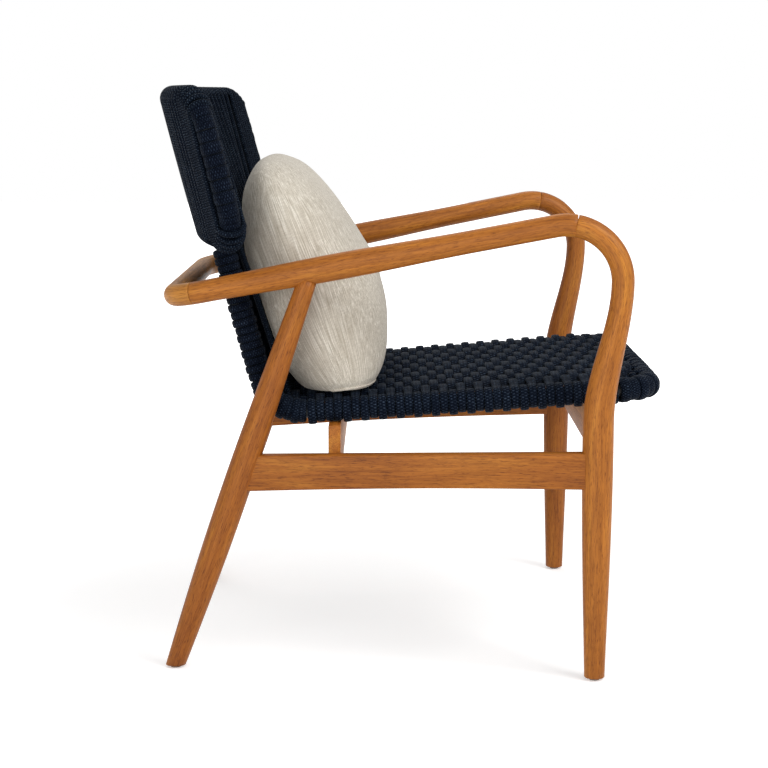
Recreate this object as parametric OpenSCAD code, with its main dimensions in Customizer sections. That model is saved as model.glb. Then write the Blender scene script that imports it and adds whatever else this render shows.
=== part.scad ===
// Armchair: a bent teak frame that carries a woven rope seat and back on a metal hoop frame,
// with a loose lumbar pillow. Front faces -Y, up is +Z, the feet stand on Z = 0.

/* [Wooden frame] */
// Distance between the feet of the front legs, centre to centre
leg_spacing = 640; // [600:5:700]
// Distance from the front feet back to the middle of the chair
front_foot_back = 259.5; // [240:0.5:300]
// Distance from the front feet back to the middle of the back bow
bow_back = 582; // [540:2:620]
// Inward turn of each side frame, in degrees
toe_in = 6; // [3:0.5:8]
// Downward slope of the arms towards the back, in degrees
arm_slope = 11; // [8:0.5:13]
// Diameter of the arms at their front end and of the back bow
arm_d = 31; // [28:0.5:33]
// Extra depth of the arms over the rear legs
arm_swell = 5.5; // [0:0.5:9]
// Radius of the bend from arm to front leg, on its centre line
bend_r = 76; // [60:1:90]
// Height of the centre of that bend
bend_z = 550.5; // [530:0.5:570]
// Angle round the bend where the leg is jointed to the arm, in degrees
arm_joint_angle = 80; // [60:1:90]
// Radius of the corners of the back bow, on its centre line
bow_corner_r = 48; // [40:1:70]
// Angle round the corner where the bow is jointed to the arm, in degrees
bow_joint_angle = 16; // [8:1:30]

/* [Front legs] */
// Diameter of the feet of the front legs
front_foot_d = 28; // [24:0.5:32]
// Depth of the front legs at the rails, from front to back
knee_depth = 42.5; // [39:0.5:46]
// Width of the front legs at the rails, from side to side
knee_width = 36; // [33:0.5:39]
// Height where the front legs begin to sweep forward
sweep_from = 358; // [340:2:380]
// How far the legs sweep forward below the bend
sweep_forward = 30; // [20:1:40]

/* [Rear legs] */
// Distance from the front feet back to the rear feet
rear_foot_back = 586; // [550:2:610]
// Rake of the rear legs, in degrees
rear_rake = 19.3; // [16:0.1:22]
// Diameter of the feet of the rear legs
rear_foot_d = 26.5; // [24:0.5:30]
// Largest diameter of the rear legs
rear_belly_d = 39.5; // [34:0.5:42]
// Diameter of the rear legs where they enter the arms
rear_top_d = 26.5; // [22:0.5:29]
// Depth of the socket in the arm, on the axis of the leg
socket_depth = 15; // [12:0.5:20]

/* [Rails] */
// Thickness of the side stretchers
stretcher_t = 22; // [18:0.5:26]
// Height of the underside of a side stretcher at its front end
stretcher_z = 268; // [250:1:280]
// Drop of the side stretchers from front to back
stretcher_drop = 12; // [0:1:20]
// Depth of the side stretchers at their ends
stretcher_h = 50; // [44:0.5:54]
// Rise of the arched underside at mid length
stretcher_arch = 3; // [0:0.5:8]
// Depth of the joint by which a rail enters a leg
housing = 12; // [8:0.5:14]
// Thickness of the front rail
front_rail_t = 22; // [18:0.5:26]
// Depth of the front rail
front_rail_h = 53; // [40:1:53]
// Thickness of the cross rail
cross_rail_t = 17; // [14:0.5:22]
// Depth of the cross rail
cross_rail_h = 78; // [60:1:82]
// Distance from the front feet back to the cross rail
cross_rail_back = 359; // [300:2:400]
// Diameter of the dowels
dowel_d = 8; // [6:0.5:9]
// Length of the dowels
dowel_l = 28; // [22:1:30]

/* [Glides] */
// Diameter of the glides
glide_d = 14; // [10:0.5:20]
// Thickness of the glides below the wood
glide_t = 3.5; // [2:0.5:6]
// Length of the glide's stem inside the leg
glide_stem = 14; // [8:1:20]

/* [Woven shell] */
// Outer diameter of the metal tubes
tube_d = 20; // [16:0.5:22]
// Wall of the metal tubes
tube_wall = 1.5; // [1:0.1:2.5]
// Thickness of the rope where it is wound
rope_t = 6.5; // [5:0.25:7]
// Thickness of the rope wound on the sides of the upper back
wing_rope_t = 4.5; // [3:0.25:7]
// Distance of the front tube of the seat in front of the front feet
nose_forward = 82; // [66:1:92]
// Height of the front tube of the seat
nose_z = 397; // [390:1:404]
// Half the distance between the side tubes at the front
seat_half_front = 252; // [240:1:262]
// Half the distance between the side tubes at the back
seat_half_rear = 232; // [225:1:234]
// Downward slope of the seat towards the back, in degrees
seat_slope = 4.2; // [2:0.1:6]
// Distance from the front feet back to the meeting of seat and back lines
seat_depth = 449; // [430:1:460]
// Radius of the plan corners at the front of the seat
front_corner_r = 45; // [38:1:60]
// Radius of the bend from seat to back
rear_corner_r = 60; // [50:1:75]

/* [Upper back] */
// Height of the top tube
top_z = 794; // [770:1:820]
// Height of the lower tube of the upper back
shoulder_z = 607; // [600:1:630]
// Distance from the front feet back to the middle of the top tube
top_back = 600; // [590:1:620]
// Distance from the front feet back to the middle of the lower tube
shoulder_back = 551; // [546:1:566]
// Radius of the backward curve of the upper back
back_curve_r = 820; // [700:10:1200]
// Half the width of the upper back, to the centres of its upright tubes
wing_half = 320; // [300:1:330]
// Radius of the corners of the upper back
wing_corner_r = 46; // [38:1:56]

/* [Rope] */
// Distance between neighbouring ropes across the seat
across_pitch = 12.3; // [11.8:0.1:14]
// Width of a rope laid across the seat
across_w = 11.5; // [8:0.1:11.6]
// Number of ropes along the seat
along_count = 9; // [5:2:13]
// Diameter of the cords of the back
cord_d = 7.5; // [6:0.25:8]
// Distance between the front cords along the top tube
cord_pitch = 17.5; // [15:0.5:24]
// Distance between the turns of rope on the upright tubes
turn_pitch = 11; // [10.5:0.1:14]
// Spacing of the wider turns down each wing
wing_pitch = 15.7; // [14:0.1:17]

/* [Pillow] */
// Width of the pillow
pillow_w = 470; // [380:5:480]
// Height of the pillow
pillow_h = 346; // [300:2:380]
// Thickness of the pillow
pillow_t = 160; // [120:2:180]
// How much the pillow thickens towards its lower edge, as a share of its thickness
pillow_slump = 0.25; // [0:0.05:0.4]
// Backward lean of the pillow, in degrees
pillow_lean = 23.5; // [14:0.5:24]
// Distance from the front feet back to the centre of the pillow
pillow_back = 397; // [380:1:410]
// Height of the centre of the pillow
pillow_z = 555; // [530:1:580]

/* [Hidden] */
$fn = 48;
SIDES = 20;          // facets round a bent piece of wood
CLEAR = 0.15;        // gap between a rope and what it is wound on
FIT = 0.1;           // glue gap round a dowel or a bolt
WELD_GAP = 0.05;     // each tube stops this short of the middle of a weld
WELD_REACH = 0.7;    // a weld runs this far over each tube
WELD_RISE = 0.08;    // and stands this far out of the wall
LEFT = -1;
RIGHT = 1;
TEAK = [0.68, 0.41, 0.18];
TEAK_LIGHT = [0.80, 0.56, 0.27];
NAVY = [0.08, 0.11, 0.17];
METAL = [0.12, 0.12, 0.13];
LINEN = [0.80, 0.76, 0.70];
FELT = [0.62, 0.60, 0.56];
STEEL = [0.55, 0.56, 0.58];

// ---- vectors -------------------------------------------------------------------------------
function unit(v) = v / norm(v);
function mix(a, b, t) = a * (1 - t) + b * t;
function ease(t) = let (c = min(max(t, 0), 1)) c * c * (3 - 2 * c);
// Angle between two unit vectors
function turn(u, v) = acos(min(max(u * v, -1), 1));
// Matrix that carries X, Y and Z to x, y and z, and the origin to p
function frame(x, y, z, p) = [
    [x[0], y[0], z[0], p[0]], [x[1], y[1], z[1], p[1]], [x[2], y[2], z[2], p[2]], [0, 0, 0, 1]];
// Any unit vector at right angles to u
function across(u) = unit(cross(abs(u[2]) < 0.9 ? [0, 0, 1] : [0, 1, 0], u));

// ---- side frame: a vertical plane that turns inwards by toe_in ---------------------------------
foot_y = -front_foot_back;
function along(side) = [-side * sin(toe_in), cos(toe_in), 0];
function outward(side) = [side * cos(toe_in), sin(toe_in), 0];
// Point of the side plane, at run u behind the front foot and height z
function in_side(side, u, z) =
    [side * leg_spacing / 2, foot_y, 0] + u * along(side) + [0, 0, z];
// Half width of the side plane at depth y
function plane_half(y) = leg_spacing / 2 - (y - foot_y) * tan(toe_in);

// Slope of the arm inside the side plane, and its turn inside the sloping plane of the arms
arm_turn = atan(tan(toe_in) * cos(arm_slope));
side_slope = asin(cos(arm_turn) * sin(arm_slope));
bend_end = 90 + side_slope;
bend_u = bend_r - sweep_forward;
sweep_to = bend_z;
function bend_point(side, a) =
    in_side(side, bend_u - bend_r * cos(a), bend_z + bend_r * sin(a));
function bend_dir(side, a) = sin(a) * along(side) + cos(a) * [0, 0, 1];
arm_start_side = bend_point(RIGHT, bend_end);
down_back = [0, cos(arm_slope), -sin(arm_slope)];
arm_run = (bow_back + foot_y - arm_start_side[1]
    - bow_corner_r * (1 - sin(arm_turn)) * cos(arm_slope)) / (cos(arm_turn) * cos(arm_slope));
function inward(side) = [-side, 0, 0];
function arm_dir(side) = cos(arm_turn) * down_back + sin(arm_turn) * inward(side);
function arm_in(side) = -sin(arm_turn) * down_back + cos(arm_turn) * inward(side);
function arm_point(side, s) = bend_point(side, bend_end) + s * arm_dir(side);
function corner_point(side, a) = arm_point(side, arm_run)
    + bow_corner_r * (sin(a) * arm_dir(side) + (1 - cos(a)) * arm_in(side));
function corner_dir(side, a) = cos(a) * arm_dir(side) + sin(a) * arm_in(side);
corner_end = 90 - arm_turn;
bow_end = corner_point(RIGHT, corner_end);

// Rear leg axis in the side plane, from the foot up to the centre line of the arm
rear_u = rear_foot_back / cos(toe_in);
arm_start_u = bend_u - bend_r * cos(bend_end);
arm_start_z = bend_z + bend_r * sin(bend_end);
// Height where the rear leg's axis crosses the centre line of the arm
rear_top_z = (arm_start_z + (arm_start_u - rear_u) * -tan(side_slope) * -1)
    / (1 - tan(rear_rake) * tan(side_slope));
rear_top_u = rear_u - rear_top_z * tan(rear_rake);
rear_len = rear_top_z / cos(rear_rake);
function rear_axis(side) = unit(-sin(rear_rake) * along(side) + cos(rear_rake) * [0, 0, 1]);
function rear_u_at(z) = rear_u - z * tan(rear_rake);

// ---- woven shell: places ---------------------------------------------------------------------
tube_r = tube_d / 2;
wound_r = tube_r + CLEAR + rope_t;
rope_r = tube_r + CLEAR + rope_t / 2;
nose_y = foot_y - nose_forward;
corner_y = foot_y + seat_depth;
function seat_z(y) = nose_z - (y - nose_y) * tan(seat_slope);
function seat_half(y) = mix(seat_half_front, seat_half_rear, (y - nose_y) / (corner_y - nose_y));
// The supports of the seat lie level with the underside of the rope on the side tubes
function support_top(y) = seat_z(y) - wound_r / cos(seat_slope);
// Level top of a rail of thickness t that passes under the rope at depth y
function rail_top(y, t) = support_top(y + t / 2);
shoulder_y = foot_y + shoulder_back;
top_y = foot_y + top_back;
// Depth of a curved tube of the upper back at half width x
function curve_y(y, x) = y - back_curve_r + sqrt(back_curve_r * back_curve_r - x * x);

// ---- bent wood -------------------------------------------------------------------------------
// Ring of an oval section: centre p, half axes ra along a and rb along b
function oval(p, a, b, ra, rb) =
    [for (k = [0:SIDES - 1]) p + ra * cos(360 * k / SIDES) * a + rb * sin(360 * k / SIDES) * b];

// The same round a centre line of direction d, from the half axis along a
function ring_at(p, d, a, ra, rb) = oval(p, a, cross(d, a), ra, rb);

// Closed skin over a row of rings, each wound by the right hand about the way to the next
module skin(rings) {
    n = len(rings[0]);
    m = len(rings);
    sides = [for (i = [0:m - 2]) for (k = [0:n - 1])
        [i * n + k, (i + 1) * n + k, (i + 1) * n + (k + 1) % n, i * n + (k + 1) % n]];
    start = [for (k = [0:n - 1]) k];
    end = [for (k = [n - 1:-1:0]) (m - 1) * n + k];
    polyhedron([for (r = rings) each r], concat(sides, [start, end]), convexity = 6);
}

chamfer = 2.5;
knee_z = 330;
wrist_z = 540;
function leg_depth(z) = z < knee_z
    ? front_foot_d + (knee_depth - front_foot_d) * pow(sin(90 * z / knee_z), 1.15)
    : mix(knee_depth, arm_d, ease((z - knee_z - 20) / (wrist_z - knee_z - 20)));
function leg_width(z) = z < knee_z
    ? front_foot_d + (knee_width - front_foot_d) * pow(sin(90 * z / knee_z), 1.15)
    : mix(knee_width, arm_d, ease((z - knee_z - 20) / (wrist_z - knee_z - 20)));
function sweep_u(z) = -sweep_forward * ease((z - sweep_from) / (sweep_to - sweep_from));

function leg_ring(side, z) = let (
        slope = (sweep_u(z + 1) - sweep_u(z - 1)) / 2,
        t = unit(slope * along(side) + [0, 0, 1]))
    ring_at(in_side(side, sweep_u(z), z), t, outward(side), leg_width(z) / 2, leg_depth(z) / 2);
function bend_ring(side, a) =
    ring_at(bend_point(side, a), bend_dir(side, a), outward(side), arm_d / 2, arm_d / 2);
// Depth of the arm at run s, with the swell over the rear leg
swell_mid = (rear_top_u - arm_start_u) / cos(side_slope) - 40;
swell_half = min(190, swell_mid);
function arm_depth(s) = let (t = (s - swell_mid) / swell_half)
    arm_d + (abs(t) < 1 ? arm_swell * pow(cos(90 * t), 2) : 0);
function arm_ring(side, s) =
    ring_at(arm_point(side, s), arm_dir(side), outward(side), arm_d / 2, arm_depth(s) / 2);
function corner_ring(side, a) =
    ring_at(corner_point(side, a), corner_dir(side, a),
        sin(a) * arm_dir(side) - cos(a) * arm_in(side), arm_d / 2, arm_d / 2);

module front_leg(side) {
    straight = [for (i = [1:6]) leg_ring(side, glide_t + chamfer + (sweep_from - glide_t) * i / 6)];
    sweep = [for (i = [1:7]) leg_ring(side, sweep_from + 4 + (sweep_to - sweep_from - 8) * i / 7)];
    bend = [for (i = [0:9]) bend_ring(side, 1 + (arm_joint_angle - 1) * i / 9)];
    foot = [for (c = [chamfer, 0])
        ring_at(in_side(side, 0, glide_t + chamfer - c), [0, 0, 1], outward(side),
            front_foot_d / 2 - c, front_foot_d / 2 - c)];
    difference() {
        skin(concat(foot, straight, sweep, bend));
        stretcher_blank(side);
        front_rail_blank();
        dowel_row(stretcher_dowels_front(side));
        dowel_row(front_rail_dowels(side));
        dowel_row(arm_dowel_places(side));
        glide(in_side(side, 0, 0));
    }
}
module arm(side) {
    bend = [for (i = [0:2]) bend_ring(side, arm_joint_angle + (bend_end - arm_joint_angle) * i / 3)];
    run = [for (i = [0:12]) arm_ring(side, arm_run * i / 12)];
    corner = [for (i = [1:3]) corner_ring(side, bow_joint_angle * i / 3)];
    difference() {
        skin(concat(bend, run, corner));
        rear_leg_solid(side);
        dowel_row(bow_dowel_places(side));
        dowel_row(arm_dowel_places(side));
    }
}

module back_bow() color(TEAK_LIGHT) difference() {
    turns = [for (i = [0:8]) mix(bow_joint_angle, corner_end, i / 8)];
    left = [for (a = turns) corner_ring(LEFT, a)];
    // The right corner is the left one in a mirror, run the other way
    right = [for (i = [8:-1:0]) [for (p = left[i]) [-p[0], p[1], p[2]]]];
    skin(concat(left, right));
    for (side = [LEFT, RIGHT]) dowel_row(bow_dowel_places(side));
}

// ---- rear legs -------------------------------------------------------------------------------
rear_belly_at = 0.45;
function rear_leg_d(t) = t < rear_belly_at
    ? rear_foot_d + (rear_belly_d - rear_foot_d) * sin(90 * t / rear_belly_at)
    : rear_top_d + (rear_belly_d - rear_top_d)
        * pow(cos(90 * (t - rear_belly_at) / (1 - rear_belly_at)), 1.3);
rear_body = rear_len - 30;
rear_stop = rear_len - arm_depth(swell_mid + 40) / 2 + socket_depth;
module rear_leg_solid(side) {
    a = rear_axis(side);
    x = outward(side);
    // The foot is cut level, and the top enters the arm as a plain round tenon
    difference() {
        multmatrix(frame(x, cross(a, x), a, in_side(side, rear_u, 0))) rotate_extrude()
            polygon(concat([[0, -10], [rear_foot_d / 2, -10]],
                [for (i = [0:12]) [rear_leg_d(i / 12) / 2, rear_body * i / 12]],
                [[rear_top_d / 2, rear_stop], [0, rear_stop]]));
        translate(in_side(side, rear_u, 0) + [-60, -60, glide_t - 60]) cube([120, 120, 60]);
    }
}

module rear_leg(side) difference() {
    rear_leg_solid(side);
    stretcher_blank(side);
    dowel_row(stretcher_dowels_rear(side));
    glide(rear_glide_place(side));
}

// ---- rails -----------------------------------------------------------------------------------
// Run of the stretcher: it enters both legs by the depth of the housing
stretcher_from = knee_depth / 2 - housing;
stretcher_mid_z = stretcher_z - stretcher_drop + stretcher_h / 2;
stretcher_to = rear_u_at(stretcher_mid_z) - rear_belly_d / 2 + housing;
module stretcher_blank(side) {
    n = 10;
    run = stretcher_to - stretcher_from;
    under = [for (i = [0:n]) let (t = i / n)
        [stretcher_from + run * t, stretcher_z - stretcher_drop * t + stretcher_arch * sin(180 * t)]];
    top_front = [stretcher_from, stretcher_z + stretcher_h];
    top_rear = [stretcher_to, stretcher_z - stretcher_drop + stretcher_h];
    z = cross(along(side), [0, 0, 1]);
    multmatrix(frame(along(side), [0, 0, 1], z, in_side(side, 0, 0) - z * stretcher_t / 2))
        linear_extrude(stretcher_t) polygon(concat(under, [top_rear, top_front]));
}

front_rail_z = rail_top(foot_y, front_rail_t) - front_rail_h;
front_rail_half = leg_spacing / 2 - knee_width / 2 + housing - 2;
module front_rail_blank()
    translate([-front_rail_half, foot_y - front_rail_t / 2, front_rail_z])
        cube([2 * front_rail_half, front_rail_t, front_rail_h]);

cross_rail_y = foot_y + cross_rail_back;
cross_rail_z = rail_top(cross_rail_y, cross_rail_t) - cross_rail_h;
function cross_rail_half(y) = plane_half(y) - stretcher_t / 2 / cos(toe_in);

// ---- dowels ----------------------------------------------------------------------------------
// A dowel place is its centre and its direction. The small turn keeps the start of each round
// off the flat facets of the curved pieces
DOWEL_TURN = 7;
module dowel_row(places, less = 0)
    for (p = places) multmatrix(frame(across(p[1]), cross(p[1], across(p[1])), p[1], p[0]))
        rotate([0, 0, DOWEL_TURN])
            cylinder(d = dowel_d - 2 * less, h = dowel_l - 2 * less, center = true);
dowel_step = 24;
function stretcher_end(side, u, z) = [for (k = [-0.5, 0.5])
    [in_side(side, u, z + k * dowel_step), along(side)]];
function stretcher_dowels_front(side) =
    stretcher_end(side, stretcher_from + 2, stretcher_z + stretcher_h / 2);
function stretcher_dowels_rear(side) = stretcher_end(side, stretcher_to - 2, stretcher_mid_z);
function front_rail_dowels(side) = [for (k = [-0.5, 0.5])
    [[side * (front_rail_half - 2), foot_y, front_rail_z + front_rail_h / 2 + k * dowel_step],
        [1, 0, 0]]];
// The cross rail meets the stretcher above its underside
cross_dowel_z = mix(stretcher_z, stretcher_z - stretcher_drop, 0.66) + stretcher_h / 2;
function cross_rail_dowels(side) = [for (k = [-0.5, 0.5])
    [[side * (cross_rail_half(cross_rail_y) - dowel_l / 2 + stretcher_t / 2), cross_rail_y,
        cross_dowel_z + k * dowel_step], [1, 0, 0]]];
function bow_dowel_places(side) =
    [[corner_point(side, bow_joint_angle), corner_dir(side, bow_joint_angle)]];
function arm_dowel_places(side) =
    [[bend_point(side, arm_joint_angle), bend_dir(side, arm_joint_angle)]];

module cross_rail() color(TEAK) difference() {
    front = cross_rail_y - cross_rail_t / 2;
    rear = cross_rail_y + cross_rail_t / 2;
    translate([0, 0, cross_rail_z]) linear_extrude(cross_rail_h) polygon([
        [-cross_rail_half(front), front], [cross_rail_half(front), front],
        [cross_rail_half(rear), rear], [-cross_rail_half(rear), rear]]);
    for (side = [LEFT, RIGHT]) dowel_row(cross_rail_dowels(side));
    for (x = [-bolt_x, bolt_x]) bolt_hole(x, cross_rail_y, cross_rail_z, cross_rail_h);
}
module front_rail() color(TEAK) difference() {
    front_rail_blank();
    for (side = [LEFT, RIGHT]) dowel_row(front_rail_dowels(side));
    for (x = [-bolt_x, bolt_x]) bolt_hole(x, foot_y, front_rail_z, front_rail_h);
}
module side_stretcher(side) color(TEAK) difference() {
    stretcher_blank(side);
    dowel_row(stretcher_dowels_front(side));
    dowel_row(stretcher_dowels_rear(side));
    dowel_row(cross_rail_dowels(side));
}
// All rail dowels lie FIT inside their holes
module rail_dowels() color(TEAK_LIGHT) for (side = [LEFT, RIGHT]) {
    dowel_row(stretcher_dowels_front(side), FIT);
    dowel_row(stretcher_dowels_rear(side), FIT);
    dowel_row(front_rail_dowels(side), FIT);
    dowel_row(cross_rail_dowels(side), FIT);
}
module bow_dowels() color(TEAK_LIGHT) for (side = [LEFT, RIGHT]) {
    dowel_row(bow_dowel_places(side), FIT);
    dowel_row(arm_dowel_places(side), FIT);
}

// ---- glides ----------------------------------------------------------------------------------
function rear_glide_place(side) =
    in_side(side, rear_u, 0) - glide_t * tan(rear_rake) * along(side);
module glide(p) translate(p) {
    cylinder(d = glide_d, h = glide_t);
    cylinder(d = glide_d / 3, h = glide_t + glide_stem);
}

// ---- metal frame of the shell ----------------------------------------------------------------
function seat_corner(side) = [side * seat_half(nose_y), nose_y, nose_z];
function rear_corner(side) = [side * seat_half_rear, corner_y, seat_z(corner_y)];
function post_top(side) =
    [side * seat_half_rear, curve_y(shoulder_y, seat_half_rear), shoulder_z];
function seat_dir(side) = unit(rear_corner(side) - seat_corner(side));
function post_dir(side) = unit(post_top(side) - rear_corner(side));
rear_turn = turn(seat_dir(RIGHT), post_dir(RIGHT));
rear_tangent = rear_corner_r * tan(rear_turn / 2);
front_turn = turn(seat_dir(RIGHT), [1, 0, 0]);
front_tangent = front_corner_r * tan(front_turn / 2);

// Straight length of tube from a to b
module tube(a, b, d, bore) let (u = unit(b - a))
    multmatrix(frame(across(u), cross(u, across(u)), u, a)) difference() {
        cylinder(d = d, h = norm(b - a));
        if (bore > 0) translate([0, 0, -1]) cylinder(d = bore, h = norm(b - a) + 2);
    }
// Matrix that puts an arc round its centre: it starts at corner p less its tangent length along u
function bend_frame(p, u, v, r) = let (
        n = unit(v - (u * v) * u),
        start = p - u * r * tan(turn(u, v) / 2))
    frame(-n, u, cross(-n, u), start + n * r);
module tube_bend(p, u, v, r, d, bore) let (less = WELD_GAP / r * 180 / PI)
    multmatrix(bend_frame(p, u, v, r)) rotate([0, 0, less])
        rotate_extrude(angle = turn(u, v) - 2 * less) translate([r, 0]) difference() {
            circle(d = d);
            if (bore > 0) circle(d = bore);
        }
tube_bore = tube_d - 2 * tube_wall;
// Lengths of tube meet in a weld, a little thicker than the wall inside and out
module run_of_tube(a, b) let (u = unit(b - a))
    tube(a + WELD_GAP * u, b - WELD_GAP * u, tube_d, tube_bore);
module weld(a, b) let (u = unit(b - a))
    tube(a - WELD_REACH * u, b + WELD_REACH * u, tube_d + 2 * WELD_RISE, tube_bore - 2 * WELD_RISE);
module weld_at(p, u) weld(p - 0.1 * u, p + 0.1 * u);

module seat_front_tube() color(METAL) {
    from = seat_corner(LEFT) + [front_tangent, 0, 0];
    to = seat_corner(RIGHT) - [front_tangent, 0, 0];
    for (side = [LEFT, RIGHT])
        tube_bend(seat_corner(side), [side, 0, 0], seat_dir(side), front_corner_r, tube_d, tube_bore);
    run_of_tube(from, to);
    for (p = [from, to]) weld_at(p, [1, 0, 0]);
}

module side_tube(side) color(METAL) {
    bend_from = rear_corner(side) - rear_tangent * seat_dir(side);
    bend_to = rear_corner(side) + rear_tangent * post_dir(side);
    run_of_tube(seat_corner(side) + front_tangent * seat_dir(side), bend_from);
    tube_bend(rear_corner(side), seat_dir(side), post_dir(side), rear_corner_r, tube_d, tube_bore);
    weld_at(bend_from, seat_dir(side));
    weld_at(bend_to, post_dir(side));
    difference() {
        run_of_tube(bend_to, post_top(side) - tube_r * 0.4 * post_dir(side));
        curved_tube(shoulder_y, shoulder_z, tube_d, 0, shoulder_arc);
    }
}

// Curved tube of the upper back, from one end of its arc to the other
module curved_tube(y, z, d, bore, half_angle)
    let (half = half_angle - WELD_GAP / back_curve_r * 180 / PI)
    translate([0, y - back_curve_r, z]) rotate([0, 0, 90 - half])
        rotate_extrude(angle = 2 * half, $fn = 180) translate([back_curve_r, 0]) difference() {
            circle(d = d, $fn = 48);
            if (bore > 0) circle(d = bore, $fn = 48);
        }
// Half angle of the arc that leaves room for the corner bend before the upright
function arc_half(room) = asin(wing_half / norm([back_curve_r, room])) - atan(room / back_curve_r);
// Room from the end of an arc to the corner: longer than the tangent of the corner's bend
top_room = wing_corner_r;
low_room = wing_corner_r * 1.2;
top_arc = arc_half(top_room);
shoulder_arc = arc_half(low_room);
function arc_end(side, y, z, a) =
    [side * back_curve_r * sin(a), y - back_curve_r * (1 - cos(a)), z];
function arc_dir(side, a) = [side * cos(a), -sin(a), 0];
function wing_corner(side, y, z, a, room) = arc_end(side, y, z, a) + room * arc_dir(side, a);
function top_corner(side) = wing_corner(side, top_y, top_z, top_arc, top_room);
function low_corner(side) =
    wing_corner(side, shoulder_y, shoulder_z, shoulder_arc, low_room);
function wing_dir(side) = unit(low_corner(side) - top_corner(side));
function top_turn() = turn(arc_dir(RIGHT, top_arc), wing_dir(RIGHT));
function low_turn() = turn(wing_dir(RIGHT), -arc_dir(RIGHT, shoulder_arc));
top_tangent = wing_corner_r * tan(top_turn() / 2);
low_tangent = wing_corner_r * tan(low_turn() / 2);

module upper_back_tube() color(METAL) {
    curved_tube(top_y, top_z, tube_d, tube_bore, top_arc);
    curved_tube(shoulder_y, shoulder_z, tube_d, tube_bore, shoulder_arc);
    for (side = [LEFT, RIGHT]) {
        top_out = arc_dir(side, top_arc);
        low_out = arc_dir(side, shoulder_arc);
        wing_from = top_corner(side) + top_tangent * wing_dir(side);
        wing_to = low_corner(side) - low_tangent * wing_dir(side);
        tube_bend(top_corner(side), top_out, wing_dir(side), wing_corner_r, tube_d, tube_bore);
        run_of_tube(wing_from, wing_to);
        tube_bend(low_corner(side), wing_dir(side), -low_out, wing_corner_r, tube_d, tube_bore);
        for (p = [wing_from, wing_to]) weld_at(p, wing_dir(side));
        weld(arc_end(side, top_y, top_z, top_arc), top_corner(side) - top_tangent * top_out);
        weld(arc_end(side, shoulder_y, shoulder_z, shoulder_arc),
            low_corner(side) - low_tangent * low_out);
    }
}

// Cross tube welded between the two side tubes
module cross_tube(y, z, half, drilled = false) color(METAL) difference() {
    tube([-half, y, z], [half, y, z], tube_d, tube_bore);
    if (drilled) for (x = [-bolt_x, bolt_x])
        translate([x, y, z - tube_r]) cylinder(d = bolt_d + 2 * FIT, h = tube_r);
    for (side = [LEFT, RIGHT]) {
        tube(seat_corner(side), rear_corner(side) - rear_tangent * seat_dir(side), tube_d, 0);
        tube_bend(rear_corner(side), seat_dir(side), post_dir(side), rear_corner_r, tube_d, 0);
    }
}
// The rear tube lies half way round the bend from seat to back
rear_mid = rear_corner(RIGHT) + unit(post_dir(RIGHT) - seat_dir(RIGHT))
    * rear_corner_r * (1 / cos(rear_turn / 2) - 1);
front_support_z = front_rail_z + front_rail_h + tube_r;
rear_support_z = cross_rail_z + cross_rail_h + tube_r;

// ---- bolts -----------------------------------------------------------------------------------
bolt_d = 5;
bolt_head_d = 10;
bolt_head_h = 3;
bolt_x = 150;
module bolt(x, y, from_z, top_z) translate([x, y, from_z]) {
    translate([0, 0, -bolt_head_h]) cylinder(d = bolt_head_d, h = bolt_head_h);
    cylinder(d = bolt_d, h = top_z - from_z);
}
module bolt_hole(x, y, z, h) translate([x, y, z - 1]) cylinder(d = bolt_d + 2 * FIT, h = h + 2);
module frame_bolts() color(STEEL) for (x = [-bolt_x, bolt_x]) {
    bolt(x, foot_y, front_rail_z, front_support_z - 1);
    bolt(x, cross_rail_y, cross_rail_z, rear_support_z - 1);
}

// ---- rope ------------------------------------------------------------------------------------
// Flat rope section with round edges
module rope_section(w, t) {
    square([t, w - t], center = true);
    for (k = [-0.5, 0.5]) translate([0, k * (w - t)]) circle(d = t, $fn = 24);
}
// Turn of rope round an axis through p along u, from angle a over sweep s; zero points along x
module rope_turn(p, u, x, a, s, w, t = rope_t, r = rope_r)
    multmatrix(frame(x, cross(u, x), u, p)) rotate([0, 0, a])
        rotate_extrude(angle = s) translate([r, 0]) rope_section(w, t);
// Turns of rope on the straight length of tube from a to b
module turns_on(a, b, pitch, t = rope_t) {
    u = unit(b - a);
    count = floor(norm(b - a) / pitch);
    step = norm(b - a) / count;
    for (i = [0:count - 1])
        multmatrix(frame(across(u), cross(u, across(u)), u, a + (i + 0.5) * step * u))
            rotate_extrude() translate([tube_r + CLEAR + t / 2, 0]) rope_section(step - 0.3, t);
}
// Turns of rope round a bend: wedges that narrow towards the inside
module turns_round(p, u, v, r, pitch, t = rope_t) {
    count = floor(turn(u, v) * PI / 180 * r / pitch);
    step = turn(u, v) / count;
    for (i = [0:count - 1]) multmatrix(bend_frame(p, u, v, r)) rotate([0, 0, (i + 0.04) * step])
        rotate_extrude(angle = step * 0.92) translate([r, 0]) difference() {
            circle(r = tube_r + CLEAR + t);
            circle(r = tube_r + CLEAR);
        }
}

// Rows of rope across the seat
weave_from = nose_y + front_tangent + 2;
weave_to = corner_y - rear_tangent * cos(seat_slope);
rows = floor((weave_to - weave_from) / across_pitch);
function row_y(i) = weave_from + (i + 0.5) * across_pitch;
// Middle of the weave above the centre line of the side tubes
weave_up = rope_r;
along_pitch = 2 * (seat_half_front - 22) / (along_count + 1);
along_d = rope_t - 0.7;
function along_x(k) = (k - (along_count - 1) / 2) * along_pitch;
wave = (rope_t + along_d) / 2 + 0.2;

seat_back_dir = [0, cos(seat_slope), -sin(seat_slope)];
seat_up = [0, sin(seat_slope), cos(seat_slope)];
function weave_point(x, y, lift) = [x, y, seat_z(y)] + (weave_up + lift) * seat_up;
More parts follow.
